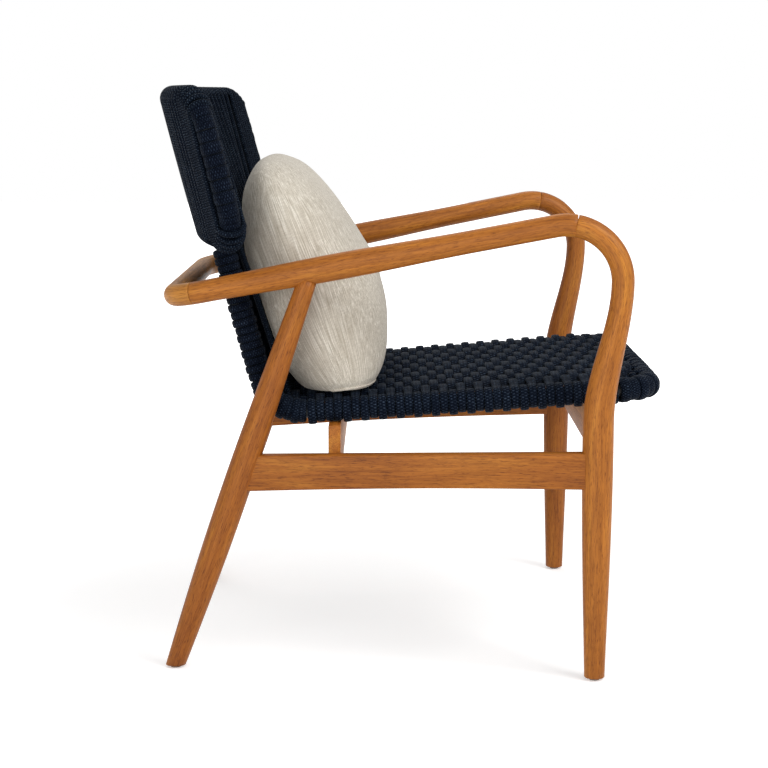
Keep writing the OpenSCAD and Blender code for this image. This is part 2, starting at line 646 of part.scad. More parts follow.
// Six-sided flat section of a rope that runs along x
rope_corners = [[-0.5, 0], [-0.28, -0.5], [0.28, -0.5], [0.5, 0], [0.28, 0.5], [-0.28, 0.5]];
function flat_ring(p, w) = [for (c = rope_corners)
    p + c[0] * w * seat_back_dir + c[1] * rope_t * seat_up];
// Row of rope at depth y, as far as x = half on both sides; up is 1 or -1 for its first crossing
module row_of_rope(y, half, w, up) {
    crests = [for (k = [0:along_count - 1]) if (abs(along_x(k)) < half - 12)
        weave_point(along_x(k), y, up * (k % 2 == 0 ? 1 : -1) * wave)];
    path = concat([weave_point(-half, y, 0)], crests, [weave_point(half, y, 0)]);
    skin([for (p = path) flat_ring(p, w)]);
}
// The rows between the front corners end inside the rope wound on those corners
front_rows = 3;
front_rows_from = nose_y + wound_r + 0.2;
front_row_w = (weave_from - front_rows_from) / front_rows;
function front_row_y(i) = front_rows_from + (i + 0.5) * front_row_w;
corner_room = front_corner_r - 14;
function front_row_half(y) = let (d = front_corner_r - (y - front_row_w / 2 - nose_y))
    seat_half(y) - front_corner_r + sqrt(max(corner_room * corner_room - d * d, 0)) - 1;
module seat_ropes_across() color(NAVY) {
    for (i = [0:rows - 1])
        row_of_rope(row_y(i), seat_half(row_y(i)) - 0.2, across_w, i % 2 == 0 ? 1 : -1);
    for (i = [0:front_rows - 1])
        row_of_rope(front_row_y(i), front_row_half(front_row_y(i)), front_row_w - 0.7,
            i % 2 == 0 ? -1 : 1);
}

module seat_ropes_along() color(NAVY) for (k = [0:along_count - 1]) {
    x = along_x(k);
    start = weave_point(x, nose_y, 0);
    tube(start + 0.2 * seat_back_dir, weave_point(x, rear_mid[1] - wound_r - 3, 0), along_d, 0);
    multmatrix(frame(-seat_back_dir, -seat_up, [1, 0, 0], [x, nose_y, nose_z])) rotate([0, 0, -90])
        rotate_extrude(angle = 250) translate([weave_up, 0]) circle(d = along_d, $fn = 24);
}

module seat_turns(side) color(NAVY) {
    for (i = [0:rows - 1]) {
        y = row_y(i);
        // A turn stops short under the tube where a support is welded to it
        reach = tube_r + across_w / 2 + 1;
        welded = min(abs(y - foot_y), abs(y - cross_rail_y)) < reach;
        rope_turn([side * seat_half(y), y, seat_z(y)], seat_back_dir * side, seat_up, 0,
            welded ? 165 : 255, across_w);
    }
    turns_round(seat_corner(side), [side, 0, 0], seat_dir(side), front_corner_r, across_pitch);
    // The turns round the rear bend are notched for the tube that is welded to it
    difference() {
        turns_round(rear_corner(side), seat_dir(side), post_dir(side), rear_corner_r, across_pitch);
        tube([side * seat_half_rear, rear_mid[1], rear_mid[2]],
            [side * (seat_half_rear - 40), rear_mid[1], rear_mid[2]], tube_d + 0.4, 0);
    }
}

module nose_turns() color(NAVY) {
    fill = round(along_pitch / across_pitch) - 1;
    room = along_pitch - along_d - 1;
    for (k = [0:along_count - 2]) for (i = [0:fill - 1]) {
        w = room / fill;
        x = along_x(k) + along_d / 2 + 0.5 + (i + 0.5) * w;
        if (abs(x) < seat_half_front - front_tangent - w / 2)
            multmatrix(frame([0, 1, 0], [0, 0, 1], [1, 0, 0], [x, nose_y, nose_z]))
                rotate_extrude() translate([rope_r, 0]) rope_section(w - 0.3, rope_t);
    }
}

module post_turns(side) color(NAVY)
    turns_on(rear_corner(side) + (rear_tangent + 1) * post_dir(side),
        post_top(side) - (wound_r + 2) * post_dir(side), turn_pitch);

module wing_turns(side) color(NAVY) {
    turns_round(top_corner(side), arc_dir(side, top_arc), wing_dir(side), wing_corner_r,
        turn_pitch, wing_rope_t);
    turns_on(top_corner(side) + (top_tangent + 0.5) * wing_dir(side),
        low_corner(side) - (low_tangent + 0.5) * wing_dir(side), wing_pitch, wing_rope_t);
    turns_round(low_corner(side), wing_dir(side), -arc_dir(side, shoulder_arc), wing_corner_r,
        turn_pitch, wing_rope_t);
}

// Cords of the back. The inner front cords run down from the front of the top tube to the front of
// the rear tube, and an outer one beside each post ends on the lower tube.
cord_r = tube_r / cos(top_arc) + CLEAR + cord_d / 2;
inner_count = 26;
inner_low_pitch = 16;
outer_x = 251.5;
function inner_offset(i) = i - (inner_count - 1) / 2;
function top_at(x) = [x, curve_y(top_y, abs(x)), top_z];
function shoulder_at(x) = [x, curve_y(shoulder_y, abs(x)), shoulder_z];
function rear_at(x) = [x, rear_mid[1], rear_mid[2]];
// Ends of each front cord, at the centres of the tubes
inner_cords = [for (i = [0:inner_count - 1])
    [top_at(inner_offset(i) * cord_pitch), rear_at(inner_offset(i) * inner_low_pitch)]];
outer_cords = [for (side = [LEFT, RIGHT]) [top_at(side * outer_x), shoulder_at(side * outer_x)]];
// Way from the middle of a tube to a cord on its front that runs from a down to b
function cord_front(a, b) = unit([0, b[2] - a[2], -(b[1] - a[1])]);
CORD_END = 0.4;      // gap between the straight of a cord and its turn
module cord_between(a, b, n) let (u = unit(b - a))
    tube(a + cord_r * n + CORD_END * u, b + cord_r * n - CORD_END * u, cord_d, 0);
module back_cords_front() color(NAVY) for (c = concat(inner_cords, outer_cords))
    cord_between(c[0], c[1], cord_front(c[0], c[1]));

// The rear cords run down from the back of the top tube to the back of the lower tube
rear_cord_x = [for (i = [-15:15]) if (abs(abs(i) * cord_pitch - seat_half_rear) > tube_r + cord_d)
    i * cord_pitch];
wing_back = unit([0, top_z - shoulder_z, -(top_y - shoulder_y)]);
module back_cords_rear() color(NAVY) for (x = rear_cord_x)
    cord_between(top_at(x), shoulder_at(x), wing_back);

// Turn of cord round the tube at p, from the way n over angle s: a positive angle starts downwards
// on the front of a tube and upwards on its back
module cord_turn(p, n, s) multmatrix(frame(n, [0, -n[2], n[1]], [1, 0, 0], p))
    rotate_extrude(angle = s) translate([cord_r, 0]) circle(d = cord_d, $fn = 20);
top_wrap = 170;      // angle of the turns over the top tube
low_wrap = 110;      // and under the lower and the rear tube
module top_cord_turns() color(NAVY) {
    for (c = concat(inner_cords, outer_cords)) cord_turn(c[0], cord_front(c[0], c[1]), -top_wrap);
    for (x = rear_cord_x) cord_turn(top_at(x), wing_back, top_wrap);
}
module lower_cord_turns() color(NAVY) {
    for (c = outer_cords) cord_turn(c[1], cord_front(c[0], c[1]), low_wrap);
    for (x = rear_cord_x) cord_turn(shoulder_at(x), wing_back, -low_wrap);
}
module rear_cord_turns() color(NAVY)
    for (c = inner_cords) cord_turn(c[1], cord_front(c[0], c[1]), low_wrap + 40);

// ---- pillow ----------------------------------------------------------------------------------
pillow_steps = 9;      // rings from one face to the seam
pillow_sides = 28;     // points round one ring
function soft(a, e) = sign(a) * pow(abs(a), e);
// Outline of a pillow with soft corners
function pillow_rim(j) = let (g = 360 * (j + 0.5) / pillow_sides)
    [pillow_w / 2 * soft(cos(g), 0.42), pillow_h / 2 * soft(sin(g), 0.42)];
function pillow_ring(h) = [for (j = [0:pillow_sides - 1])
    let (r = pillow_rim(j), c = pow(cos(h), 0.76), fill = 1 - pillow_slump * r[1] * c / pillow_h * 2)
    [r[0] * c, r[1] * c, pillow_t / 2 * sin(h) * fill]];
module pillow() color(LINEN)
    translate([0, foot_y + pillow_back, pillow_z]) rotate([90 - pillow_lean, 0, 0])
        skin([for (i = [1:2 * pillow_steps - 1]) pillow_ring(90 * i / pillow_steps - 90)]);

// ---- assembly --------------------------------------------------------------------------------
back_bow();
color(TEAK) arm(LEFT);  // arm_left
color(TEAK) arm(RIGHT);  // arm_right
color(TEAK) front_leg(LEFT);  // front_leg_left
color(TEAK) front_leg(RIGHT);  // front_leg_right
color(TEAK) rear_leg(LEFT);  // rear_leg_left
color(TEAK) rear_leg(RIGHT);  // rear_leg_right
side_stretcher(LEFT);  // side_stretcher_left
side_stretcher(RIGHT);  // side_stretcher_right
front_rail();
cross_rail();
rail_dowels();
bow_dowels();
color(FELT) for (side = [LEFT, RIGHT]) {  // glides
    glide(in_side(side, 0, 0));
    glide(rear_glide_place(side));
}
seat_front_tube();
side_tube(LEFT);  // side_tube_left
side_tube(RIGHT);  // side_tube_right
cross_tube(rear_mid[1], rear_mid[2], seat_half_rear);  // seat_rear_tube
cross_tube(foot_y, front_support_z, seat_half(foot_y), true);  // support_tube_front
cross_tube(cross_rail_y, rear_support_z, seat_half(cross_rail_y), true);  // support_tube_rear
upper_back_tube();
frame_bolts();
seat_ropes_across();
seat_ropes_along();
seat_turns(LEFT);  // seat_turns_left
seat_turns(RIGHT);  // seat_turns_right
nose_turns();
post_turns(LEFT);  // post_turns_left
post_turns(RIGHT);  // post_turns_right
wing_turns(LEFT);  // wing_turns_left
wing_turns(RIGHT);  // wing_turns_right
back_cords_front();
back_cords_rear();
top_cord_turns();
lower_cord_turns();
rear_cord_turns();
pillow();
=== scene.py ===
# %% [markdown]
# # A teak armchair with a rope seat
# The chair is a bent wooden frame that carries a hooped metal frame, and rope is wound and woven
# over the metal. A loose pillow lies against the back. The solid model gives every place and
# size; this lesson gives each piece its fine shape and its finish.

# %% The frame from the solid model
import math

import bmesh
import bpy
import numpy as np
from mathutils.bvhtree import BVHTree
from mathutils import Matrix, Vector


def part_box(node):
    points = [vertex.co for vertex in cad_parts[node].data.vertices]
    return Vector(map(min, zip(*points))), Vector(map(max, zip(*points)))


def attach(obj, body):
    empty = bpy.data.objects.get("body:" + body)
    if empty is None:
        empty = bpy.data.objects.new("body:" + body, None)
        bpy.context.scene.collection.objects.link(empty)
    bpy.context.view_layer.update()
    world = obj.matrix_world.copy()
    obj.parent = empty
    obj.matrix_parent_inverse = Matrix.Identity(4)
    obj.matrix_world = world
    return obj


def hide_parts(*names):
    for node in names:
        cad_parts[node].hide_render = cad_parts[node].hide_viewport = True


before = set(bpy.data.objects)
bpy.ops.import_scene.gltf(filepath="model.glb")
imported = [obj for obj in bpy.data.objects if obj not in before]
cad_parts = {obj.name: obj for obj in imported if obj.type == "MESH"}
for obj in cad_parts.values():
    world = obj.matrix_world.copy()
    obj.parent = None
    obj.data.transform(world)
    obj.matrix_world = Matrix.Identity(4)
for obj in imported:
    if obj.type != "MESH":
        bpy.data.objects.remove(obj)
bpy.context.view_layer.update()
BODY = "root"
LEFT, RIGHT = -1, 1
SIDES = {LEFT: "left", RIGHT: "right"}

# %% [markdown]
# ## Camera, floor and light
# The chair is seen square from its left side, from about the height of its back, with a long
# lens. A white floor and soft lamps keep the colours plain: the floor looks white to the camera,
# but it still takes the soft shadow under the chair.

# %% Camera
CAMERA_DISTANCE = 2.8994    # from the middle plane of the chair
CAMERA_HEIGHT = 0.794
CAMERA_DEPTH = 0.031        # the camera stands this far behind the middle of the chair
CAMERA_PITCH = 8.417        # degrees below the horizon
LENS, SENSOR_WIDTH = 90.47, 36
NEAR_CLIP = 0.05


def new_object(name, data):
    """An object that holds the data, in the scene."""
    thing = bpy.data.objects.new(name, data)
    bpy.context.scene.collection.objects.link(thing)
    return thing


def make_camera():
    data = bpy.data.cameras.new("camera")
    data.lens = LENS
    data.sensor_width = SENSOR_WIDTH
    data.clip_start = NEAR_CLIP
    camera = new_object("camera", data)
    camera.location = (-CAMERA_DISTANCE, CAMERA_DEPTH, CAMERA_HEIGHT)
    camera.rotation_euler = (math.radians(90 - CAMERA_PITCH), 0, math.radians(-90))
    bpy.context.scene.camera = camera


make_camera()
print("camera looks down", CAMERA_PITCH, "degrees through a lens of", LENS, "mm")


# %% Nodes of a material
def new_material(name):
    """An empty node material, with its node tree."""
    material = bpy.data.materials.new(name)
    material.use_nodes = True
    material.node_tree.nodes.clear()
    return material, material.node_tree


def add_node(tree, kind, inputs=None, **settings):
    """A node with its settings; each input takes a value or the output of another node."""
    node = tree.nodes.new(kind)
    for key, value in settings.items():
        setattr(node, key, value)
    for name, value in (inputs or {}).items():
        socket = node.inputs[name]
        if isinstance(value, bpy.types.NodeSocket):
            tree.links.new(value, socket)
        elif socket.type == "RGBA":
            socket.default_value = (*value, 1)
        else:
            socket.default_value = value
    return node


def calculated(tree, operation, *values):
    """What a math node makes of its values."""
    node = add_node(tree, "ShaderNodeMath", dict(enumerate(values)), operation=operation)
    return node.outputs[0]


# %% Floor and backdrop
FLOOR_HALF = 12
SQUARE = ((-1, -1), (1, -1), (1, 1), (-1, 1))
FLOOR_COLOUR = (0.82, 0.82, 0.82)
FLOOR_GLOW, FAR_GLOW = 0.42, 1.1    # under the chair, and away from it where the lamps fall off
GLOW_FROM, GLOW_TO = 0.55, 2.2      # the glow grows between these distances from the middle


def floor_material():
    material, tree = new_material("floor")
    diffuse = add_node(tree, "ShaderNodeBsdfDiffuse", {"Color": FLOOR_COLOUR})
    path = add_node(tree, "ShaderNodeLightPath").outputs
    seen = calculated(tree, "MAXIMUM", path["Is Camera Ray"], path["Is Glossy Ray"])
    placed = add_node(tree, "ShaderNodeTexCoord").outputs["Object"]
    away = add_node(tree, "ShaderNodeVectorMath", {0: placed}, operation="LENGTH")
    level = add_node(tree, "ShaderNodeMapRange", {
        "Value": away.outputs["Value"], "From Min": GLOW_FROM, "From Max": GLOW_TO,
        "To Min": FLOOR_GLOW, "To Max": FAR_GLOW})
    strength = calculated(tree, "MULTIPLY", seen, level.outputs[0])
    glow = add_node(tree, "ShaderNodeEmission", {"Strength": strength})
    both = add_node(tree, "ShaderNodeAddShader", {0: diffuse.outputs[0], 1: glow.outputs[0]})
    add_node(tree, "ShaderNodeOutputMaterial", {"Surface": both.outputs[0]})
    return material


def make_floor():
    mesh = bpy.data.meshes.new("floor")
    corners = [(x * FLOOR_HALF, y * FLOOR_HALF, 0) for x, y in SQUARE]
    mesh.from_pydata(corners, [], [(0, 1, 2, 3)])
    mesh.materials.append(floor_material())
    new_object("floor", mesh)


make_floor()
print("floor of", 2 * FLOOR_HALF, "m")

# %% World and lamps
WORLD_LIGHT = 0.60          # for the light it gives; to the camera it is plain white
MIDDLE = (0, 0, 0.4)
LAMPS = {                   # place, size in metres, power in watts
    "key": ((-1.8, -2.2, 2.8), 1.6, 66),
    "fill": ((-3.2, 1.0, 1.2), 2.2, 30),
    "rim": ((2.4, 0.4, 2.6), 2.0, 20)}


def make_world():
    world = bpy.data.worlds.new("studio")
    world.use_nodes = True
    tree = world.node_tree
    tree.nodes.clear()
    path = add_node(tree, "ShaderNodeLightPath").outputs
    seen = calculated(tree, "MAXIMUM", path["Is Camera Ray"], path["Is Transmission Ray"])
    level = add_node(tree, "ShaderNodeMapRange", {
        "Value": seen, "To Min": WORLD_LIGHT, "To Max": 1.0})
    background = add_node(tree, "ShaderNodeBackground", {
        "Color": (1, 1, 1), "Strength": level.outputs[0]})
    add_node(tree, "ShaderNodeOutputWorld", {"Surface": background.outputs[0]})
    bpy.context.scene.world = world


def area_lamp(name, spot, size, power):
    """A square lamp at a spot that shines at the middle of the chair."""
    data = bpy.data.lights.new(name, "AREA")
    data.shape = "SQUARE"
    data.size = size
    data.energy = power
    lamp = new_object(name, data)
    way = np.subtract(MIDDLE, spot)
    flat = math.hypot(way[0], way[1])
    lamp.location = spot
    lamp.rotation_euler = (math.atan2(flat, -way[2]), 0, math.atan2(-way[0], way[1]))


make_world()
for name, (spot, size, power) in LAMPS.items():
    area_lamp(name, spot, size, power)
bpy.context.scene.view_settings.view_transform = "Standard"
print("lamps:", ", ".join(LAMPS))


# %% [markdown]
# ## Wood with its grain along the piece
# Teak is golden brown, with fine dark pores drawn out along the grain. On a bent piece the grain
# follows the bend, so each wooden piece stores its own straight coordinates: two across the
# section and one along the middle line. The material reads those, as if the wood were unbent.

# %% Nodes for colour and relief
def stretched(tree, source, scale):
    """Coordinates with a scale for each axis, which draws a pattern out where it is small."""
    mapping = add_node(tree, "ShaderNodeMapping", {"Vector": source, "Scale": scale})
    return mapping.outputs["Vector"]


def noise(tree, vector, scale, detail, roughness, distortion=0.0):
    return add_node(tree, "ShaderNodeTexNoise", {
        "Vector": vector, "Scale": scale, "Detail": detail, "Roughness": roughness,
        "Distortion": distortion}).outputs["Fac"]


def ramp(tree, value, stops):
    """A colour ramp through (place, colour) stops."""
    node = add_node(tree, "ShaderNodeValToRGB", {"Fac": value})
    elements = node.color_ramp.elements
    while len(elements) < len(stops):
        elements.new(0.5)
    for element, (at, colour) in zip(elements, stops):
        element.position = at
        element.color = (*colour, 1)
    return node.outputs["Color"]


def shaded(tree, colour, value, stops, amount=1.0):
    """A colour multiplied by what a ramp makes of a value."""
    mix = add_node(tree, "ShaderNodeMix", {
        "Factor": amount, 6: colour, 7: ramp(tree, value, stops)},
        data_type="RGBA", blend_type="MULTIPLY")
    return mix.outputs[2]


def bump(tree, height, strength, distance):
    return add_node(tree, "ShaderNodeBump", {
        "Height": height, "Strength": strength, "Distance": distance}).outputs["Normal"]


def finish_shader(tree, colour, roughness, normal, specular, **fixed):
    """The shader that ends a material, with constants on its own sockets."""
    inputs = {"Base Color": colour, "Roughness": roughness, "Normal": normal,
              "Specular IOR Level": specular}
    inputs.update((name.replace("_", " "), value) for name, value in fixed.items())
    shader = add_node(tree, "ShaderNodeBsdfPrincipled", inputs)
    add_node(tree, "ShaderNodeOutputMaterial", {"Surface": shader.outputs[0]})


# %% Teak
STREAK_SHADE = ((0.30, (0.68, 0.61, 0.52)), (0.62, (1.12, 1.13, 1.16)))
PORE_SHADE = ((0.36, (0.46, 0.38, 0.32)), (0.46, (1, 1, 1)))


def teak(name, dark, middle, light):
    material, tree = new_material(name)
    grain = add_node(tree, "ShaderNodeAttribute", attribute_name="grain").outputs["Vector"]
    broad = noise(tree, stretched(tree, grain, (1, 1, 0.10)), 38, 3, 0.55, 0.6)
    streaks = noise(tree, stretched(tree, grain, (1, 1, 0.04)), 420, 5, 0.65, 0.3)
    pores = noise(tree, stretched(tree, grain, (1, 1, 0.09)), 1050, 3, 0.55)
    body = ramp(tree, broad, ((0.30, dark), (0.52, middle), (0.72, light)))
    body = shaded(tree, body, streaks, STREAK_SHADE)
    body = shaded(tree, body, pores, PORE_SHADE, 0.8)
    roughness = add_node(tree, "ShaderNodeMapRange", {
        "Value": streaks, "To Min": 0.58, "To Max": 0.42})
    finish_shader(tree, body, roughness.outputs[0], bump(tree, pores, 0.25, 0.0003), 0.28)
    return material


TEAK = teak("teak", (0.31, 0.096, 0.010), (0.44, 0.150, 0.017), (0.55, 0.220, 0.028))
# A darker copy of the teak, partly a tone that differs from piece to piece and partly painted
# shade, for the far front leg, the rear legs and the stretchers
TONE_AND_SHADE_TEAK = teak("tone_and_shade_teak", (0.25, 0.070, 0.007), (0.36, 0.114, 0.012), (0.45, 0.165, 0.020))
PALE_TEAK = teak("pale_teak", (0.44, 0.165, 0.024), (0.54, 0.225, 0.037), (0.61, 0.29, 0.058))
print("woods:", TEAK.name, TONE_AND_SHADE_TEAK.name, PALE_TEAK.name)


# %% [markdown]
# ## One tool for every long piece
# A leg, an arm and a rope are all the same thing to a modeller: a section carried along a middle
# line. The helper below takes the points of that line, one direction across it, and the half sizes
# of the section, and returns points, faces, grain coordinates and a map for patterns.

# %% Small tools for lines and rings
def unit(v):
    v = np.asarray(v, float)
    return v / np.linalg.norm(v, axis=-1, keepdims=True)


def directions(points):
    """Way of travel at each point of a line."""
    return unit(np.gradient(points, axis=0))


def lengths_along(points):
    steps = np.linalg.norm(np.diff(points, axis=0), axis=1)
    return np.concatenate([[0], np.cumsum(steps)])


def soft(a, power):
    """A power that keeps the sign."""
    return np.sign(a) * np.abs(a) ** power


def section(sides, fullness=1.0):
    """Unit outline of a section; below 1 it is fuller than an ellipse."""
    angle = 2 * np.pi * np.arange(sides) / sides
    shape = np.stack([np.cos(angle), np.sin(angle)], 1)
    return soft(shape, fullness)


def ring_quads(rings, sides, closed=False):
    """Faces between rings of points; where closed, the last ring joins the first."""
    i, k = np.meshgrid(np.arange(rings if closed else rings - 1), np.arange(sides), indexing="ij")
    row, next_row, after = i * sides, (i + 1) % rings * sides, (k + 1) % sides
    return np.stack([row + k, row + after, next_row + after, next_row + k], 2).reshape(-1, 4)


def ring_map(u, v):
    """Where the corners of those faces lie on a map, at u round the rings and v along them."""
    (u_from, v_from), (u_to, v_to) = np.meshgrid(u[:-1], v[:-1]), np.meshgrid(u[1:], v[1:])
    corners = [(u_from, v_from), (u_to, v_from), (u_to, v_to), (u_from, v_to)]
    return np.stack([np.stack(corner, 2) for corner in corners], 2).reshape(-1, 4, 2)


print("faces between 3 rings of 12 points:", len(ring_quads(3, 12)))


# %% Sweeping a section along a line
def sweep(points, across, half_a, half_b, sides, fullness=1.0, ways=None):
    """A closed skin round a line: half_a lies along across, half_b at right angles to it."""
    points = np.asarray(points, float)
    count = len(points)
    ways = directions(points) if ways is None else np.asarray(ways, float)
    a = np.broadcast_to(np.asarray(across, float), points.shape)
    a = unit(a - np.sum(a * ways, 1, keepdims=True) * ways)
    b = np.cross(ways, a)
    half_a = np.broadcast_to(half_a, count)[:, None]
    half_b = np.broadcast_to(half_b, count)[:, None]
    along = lengths_along(points)
    outline = section(sides, fullness)
    flat_a = half_a * outline[:, 0]
    flat_b = half_b * outline[:, 1]
    skin = points[:, None] + flat_a[..., None] * a[:, None] + flat_b[..., None] * b[:, None]
    grain = np.stack([flat_a, flat_b, np.broadcast_to(along[:, None], flat_a.shape)], 2)
    start, end = points[:1], points[-1:]
    vertices = np.concatenate([skin.reshape(-1, 3), start, end])
    grain = np.concatenate([grain.reshape(-1, 3), [[0, 0, 0]], [[0, 0, along[-1]]]])
    girth = math.pi * float(half_a.mean() + half_b.mean())
    quad_map = ring_map(np.arange(sides + 1) / sides * girth, along)
    ring = np.arange(sides)
    after = (ring + 1) % sides
    last, tips = (count - 1) * sides, count * sides
    start_fan = np.stack([after, ring, np.full(sides, tips)], 1)
    end_fan = np.stack([last + ring, last + after, np.full(sides, tips + 1)], 1)
    fans = np.concatenate([start_fan, end_fan])
    return vertices, ring_quads(count, sides), quad_map, fans, grain


rod = sweep([(0, 0, 0), (0, 0, 1)], (1, 0, 0), 1, 1, 8)
print("a rod of 2 rings of 8 has", len(rod[0]), "points with its tips")


# %% From skins to a finished piece
def smooth_shaded(mesh):
    mesh.polygons.foreach_set("use_smooth", np.ones(len(mesh.polygons), bool))


def store(mesh, name, vectors):
    """Stores a vector for each vertex under a name, for a material to read."""
    attribute = mesh.attributes.new(name, "FLOAT_VECTOR", "POINT")
    attribute.data.foreach_set("vector", vectors.ravel())


def join_skins(name, skins, material):
    """One mesh object from several swept skins, with its grain and its map."""
    firsts = np.cumsum([0] + [len(skin[0]) for skin in skins])
    vertices, maps, grains = (np.concatenate([skin[k] for skin in skins]) for k in (0, 2, 4))
    quads, fans = (np.concatenate([skin[k] + first for skin, first in zip(skins, firsts)])
                   for k in (1, 3))
    mesh = bpy.data.meshes.new(name)
    mesh.vertices.add(len(vertices))
    mesh.vertices.foreach_set("co", vertices.ravel())
    corners = np.concatenate([quads.ravel(), fans.ravel()])
    mesh.loops.add(len(corners))
    mesh.loops.foreach_set("vertex_index", corners)
    starts = np.concatenate([np.arange(len(quads)) * 4, len(quads) * 4 + np.arange(len(fans)) * 3])
    mesh.polygons.add(len(starts))
    mesh.polygons.foreach_set("loop_start", starts)
    mesh.update(calc_edges=True)
    layer = mesh.uv_layers.new(name="pattern")
    flat = np.concatenate([maps.reshape(-1, 2), grains[fans.ravel()][:, :2]])
    layer.data.foreach_set("uv", flat.ravel())
    store(mesh, "grain", grains)
    smooth_shaded(mesh)
    mesh.materials.append(material)
    mesh.validate()
    return new_object(name, mesh)


def place(piece, slot, *nodes):
    """Hands a finished piece to the frame: what it rides on and what it stands for; the slot is not
    used.
    """
    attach(piece, BODY)
    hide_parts(*nodes)
    print(piece.name, "has", len(piece.data.polygons), "faces")


# %% [markdown]
# ## Side frames
# Each arm and its front leg lie in one upright plane, turned inwards to the back. The leg tapers
# to its foot, swells at the rails, sweeps forward and bends over into the arm. The arm falls
# gently to the back, where it turns the corner into the back bow.

# %% Sizes of the side frames
WOOD_SIDES = 48             # facets round a wooden section
FOOT_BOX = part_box("glides")
GLIDE_T, GLIDE_R = 0.0035, 0.007
TOE_IN = math.radians(6)
ARM_SLOPE = math.radians(11)
ARM_R = 0.0155
LEG_SPACING = 0.640
FOOT_Y = FOOT_BOX[0][1] + GLIDE_R
BOW_BACK = 0.582
BEND_R, BEND_Z = 0.076, 0.5505
ARM_JOINT, BOW_JOINT = math.radians(80), math.radians(16)
BOW_CORNER_R = 0.048
SWEEP_FROM, SWEEP_FORWARD = 0.358, 0.030
KNEE_Z, WRIST_Z = 0.330, 0.540
FOOT_D, KNEE_DEPTH, KNEE_WIDTH = 0.028, 0.0425, 0.036
TAPER_POWER, KNEE_FLAT = 1.15, 0.02
ARM_SWELL = 0.0055
UP, OUT = np.array([0, 0, 1.0]), np.array([1.0, 0, 0])
ARM_TURN = math.atan(math.tan(TOE_IN) * math.cos(ARM_SLOPE))
SIDE_SLOPE = math.asin(math.cos(ARM_TURN) * math.sin(ARM_SLOPE))
BEND_END = math.pi / 2 + SIDE_SLOPE
BEND_U = BEND_R - SWEEP_FORWARD


print("each arm turns inwards by", round(math.degrees(ARM_TURN), 2), "degrees")


# %% Lines of the side frames
def ease(t):
    t = np.clip(t, 0, 1)
    return t * t * (3 - 2 * t)


def back_along(side):
    return np.array([-side * math.sin(TOE_IN), math.cos(TOE_IN), 0])


def outward(side):
    return np.array([side * math.cos(TOE_IN), math.sin(TOE_IN), 0])


def in_side(side, u, z):
    """Points of a side plane at run u behind the front foot and height z."""
    u, z = np.asarray(u, float)[..., None], np.asarray(z, float)[..., None]
    return np.array([side * LEG_SPACING / 2, FOOT_Y, 0]) + u * back_along(side) + z * UP


def bend_points(side, angle):
    angle = np.asarray(angle)
    return in_side(side, BEND_U - BEND_R * np.cos(angle), BEND_Z + BEND_R * np.sin(angle))


def arm_way(side):
    down_back = np.array([0, math.cos(ARM_SLOPE), -math.sin(ARM_SLOPE)])
    inward = np.array([-side, 0, 0])
    way = math.cos(ARM_TURN) * down_back + math.sin(ARM_TURN) * inward
    inside = -math.sin(ARM_TURN) * down_back + math.cos(ARM_TURN) * inward
    return way, inside


ARM_START = bend_points(RIGHT, BEND_END)
ARM_RUN = (BOW_BACK + FOOT_Y - ARM_START[1] - BOW_CORNER_R * (1 - math.sin(ARM_TURN))
           * math.cos(ARM_SLOPE)) / (math.cos(ARM_TURN) * math.cos(ARM_SLOPE))


def arm_points(side, run):
    return bend_points(side, BEND_END) + np.asarray(run, float)[..., None] * arm_way(side)[0]


def corner_points(side, angle):
    way, inside = arm_way(side)
    angle = np.asarray(angle, float)[..., None]
    turned = np.sin(angle) * way + (1 - np.cos(angle)) * inside
    return arm_points(side, ARM_RUN) + BOW_CORNER_R * turned


print("arm, straight length:", round(ARM_RUN, 4))

# %% Front legs
JOINT_EDGE = 0.0006         # the ends at a joint are eased by this much, which shows as a fine line


def eased_ends(points, half):
    """Adds a small chamfer at the ends of a line and of its half sizes."""
    half = [np.array(h, float) for h in half]
    for end, near in ((0, 1), (-1, -2)):
        way = unit(points[near] - points[end])
        tip = points[end].copy()
        at = 0 if end == 0 else len(points)
        points[end] = tip + way * JOINT_EDGE
        points = np.insert(points, at, tip, 0)
        half = [np.insert(h, at, h[end] - JOINT_EDGE) for h in half]
    return points, half


def leg_profile(z):
    """Half depth and half width of a front leg at height z."""
    low = np.sin(np.pi / 2 * np.clip(z / KNEE_Z, 0, 1)) ** TAPER_POWER
    high = ease((z - KNEE_Z - KNEE_FLAT) / (WRIST_Z - KNEE_Z - KNEE_FLAT))
    halves = []
    for knee in (KNEE_DEPTH, KNEE_WIDTH):
        below = FOOT_D + (knee - FOOT_D) * low
        above = knee + (2 * ARM_R - knee) * high
        halves.append(np.where(z < KNEE_Z, below, above) / 2)
    return halves


def wooden(node, skin, wood, slot="teak"):
    """A swept wooden piece that stands for one node."""
    place(join_skins("teak_" + node, [skin], wood), slot, node)


def front_leg(side):
    z = np.linspace(GLIDE_T, BEND_Z, 48)
    run = -SWEEP_FORWARD * ease((z - SWEEP_FROM) / (BEND_Z - SWEEP_FROM))
    angle = np.linspace(0, ARM_JOINT, 22)[1:]
    points = np.concatenate([in_side(side, run, z), bend_points(side, angle)])
    round_end = np.full(len(angle), ARM_R)
    halves = [np.concatenate([half, round_end]) for half in leg_profile(z)]
    points, (depth, width) = eased_ends(points, halves)
    skin = sweep(points, outward(side), width, depth, WOOD_SIDES)
    # The far leg takes the darker copy as painted shade
    wooden("front_leg_" + SIDES[side], skin, TEAK if side == LEFT else TONE_AND_SHADE_TEAK)


for side in SIDES:
    front_leg(side)

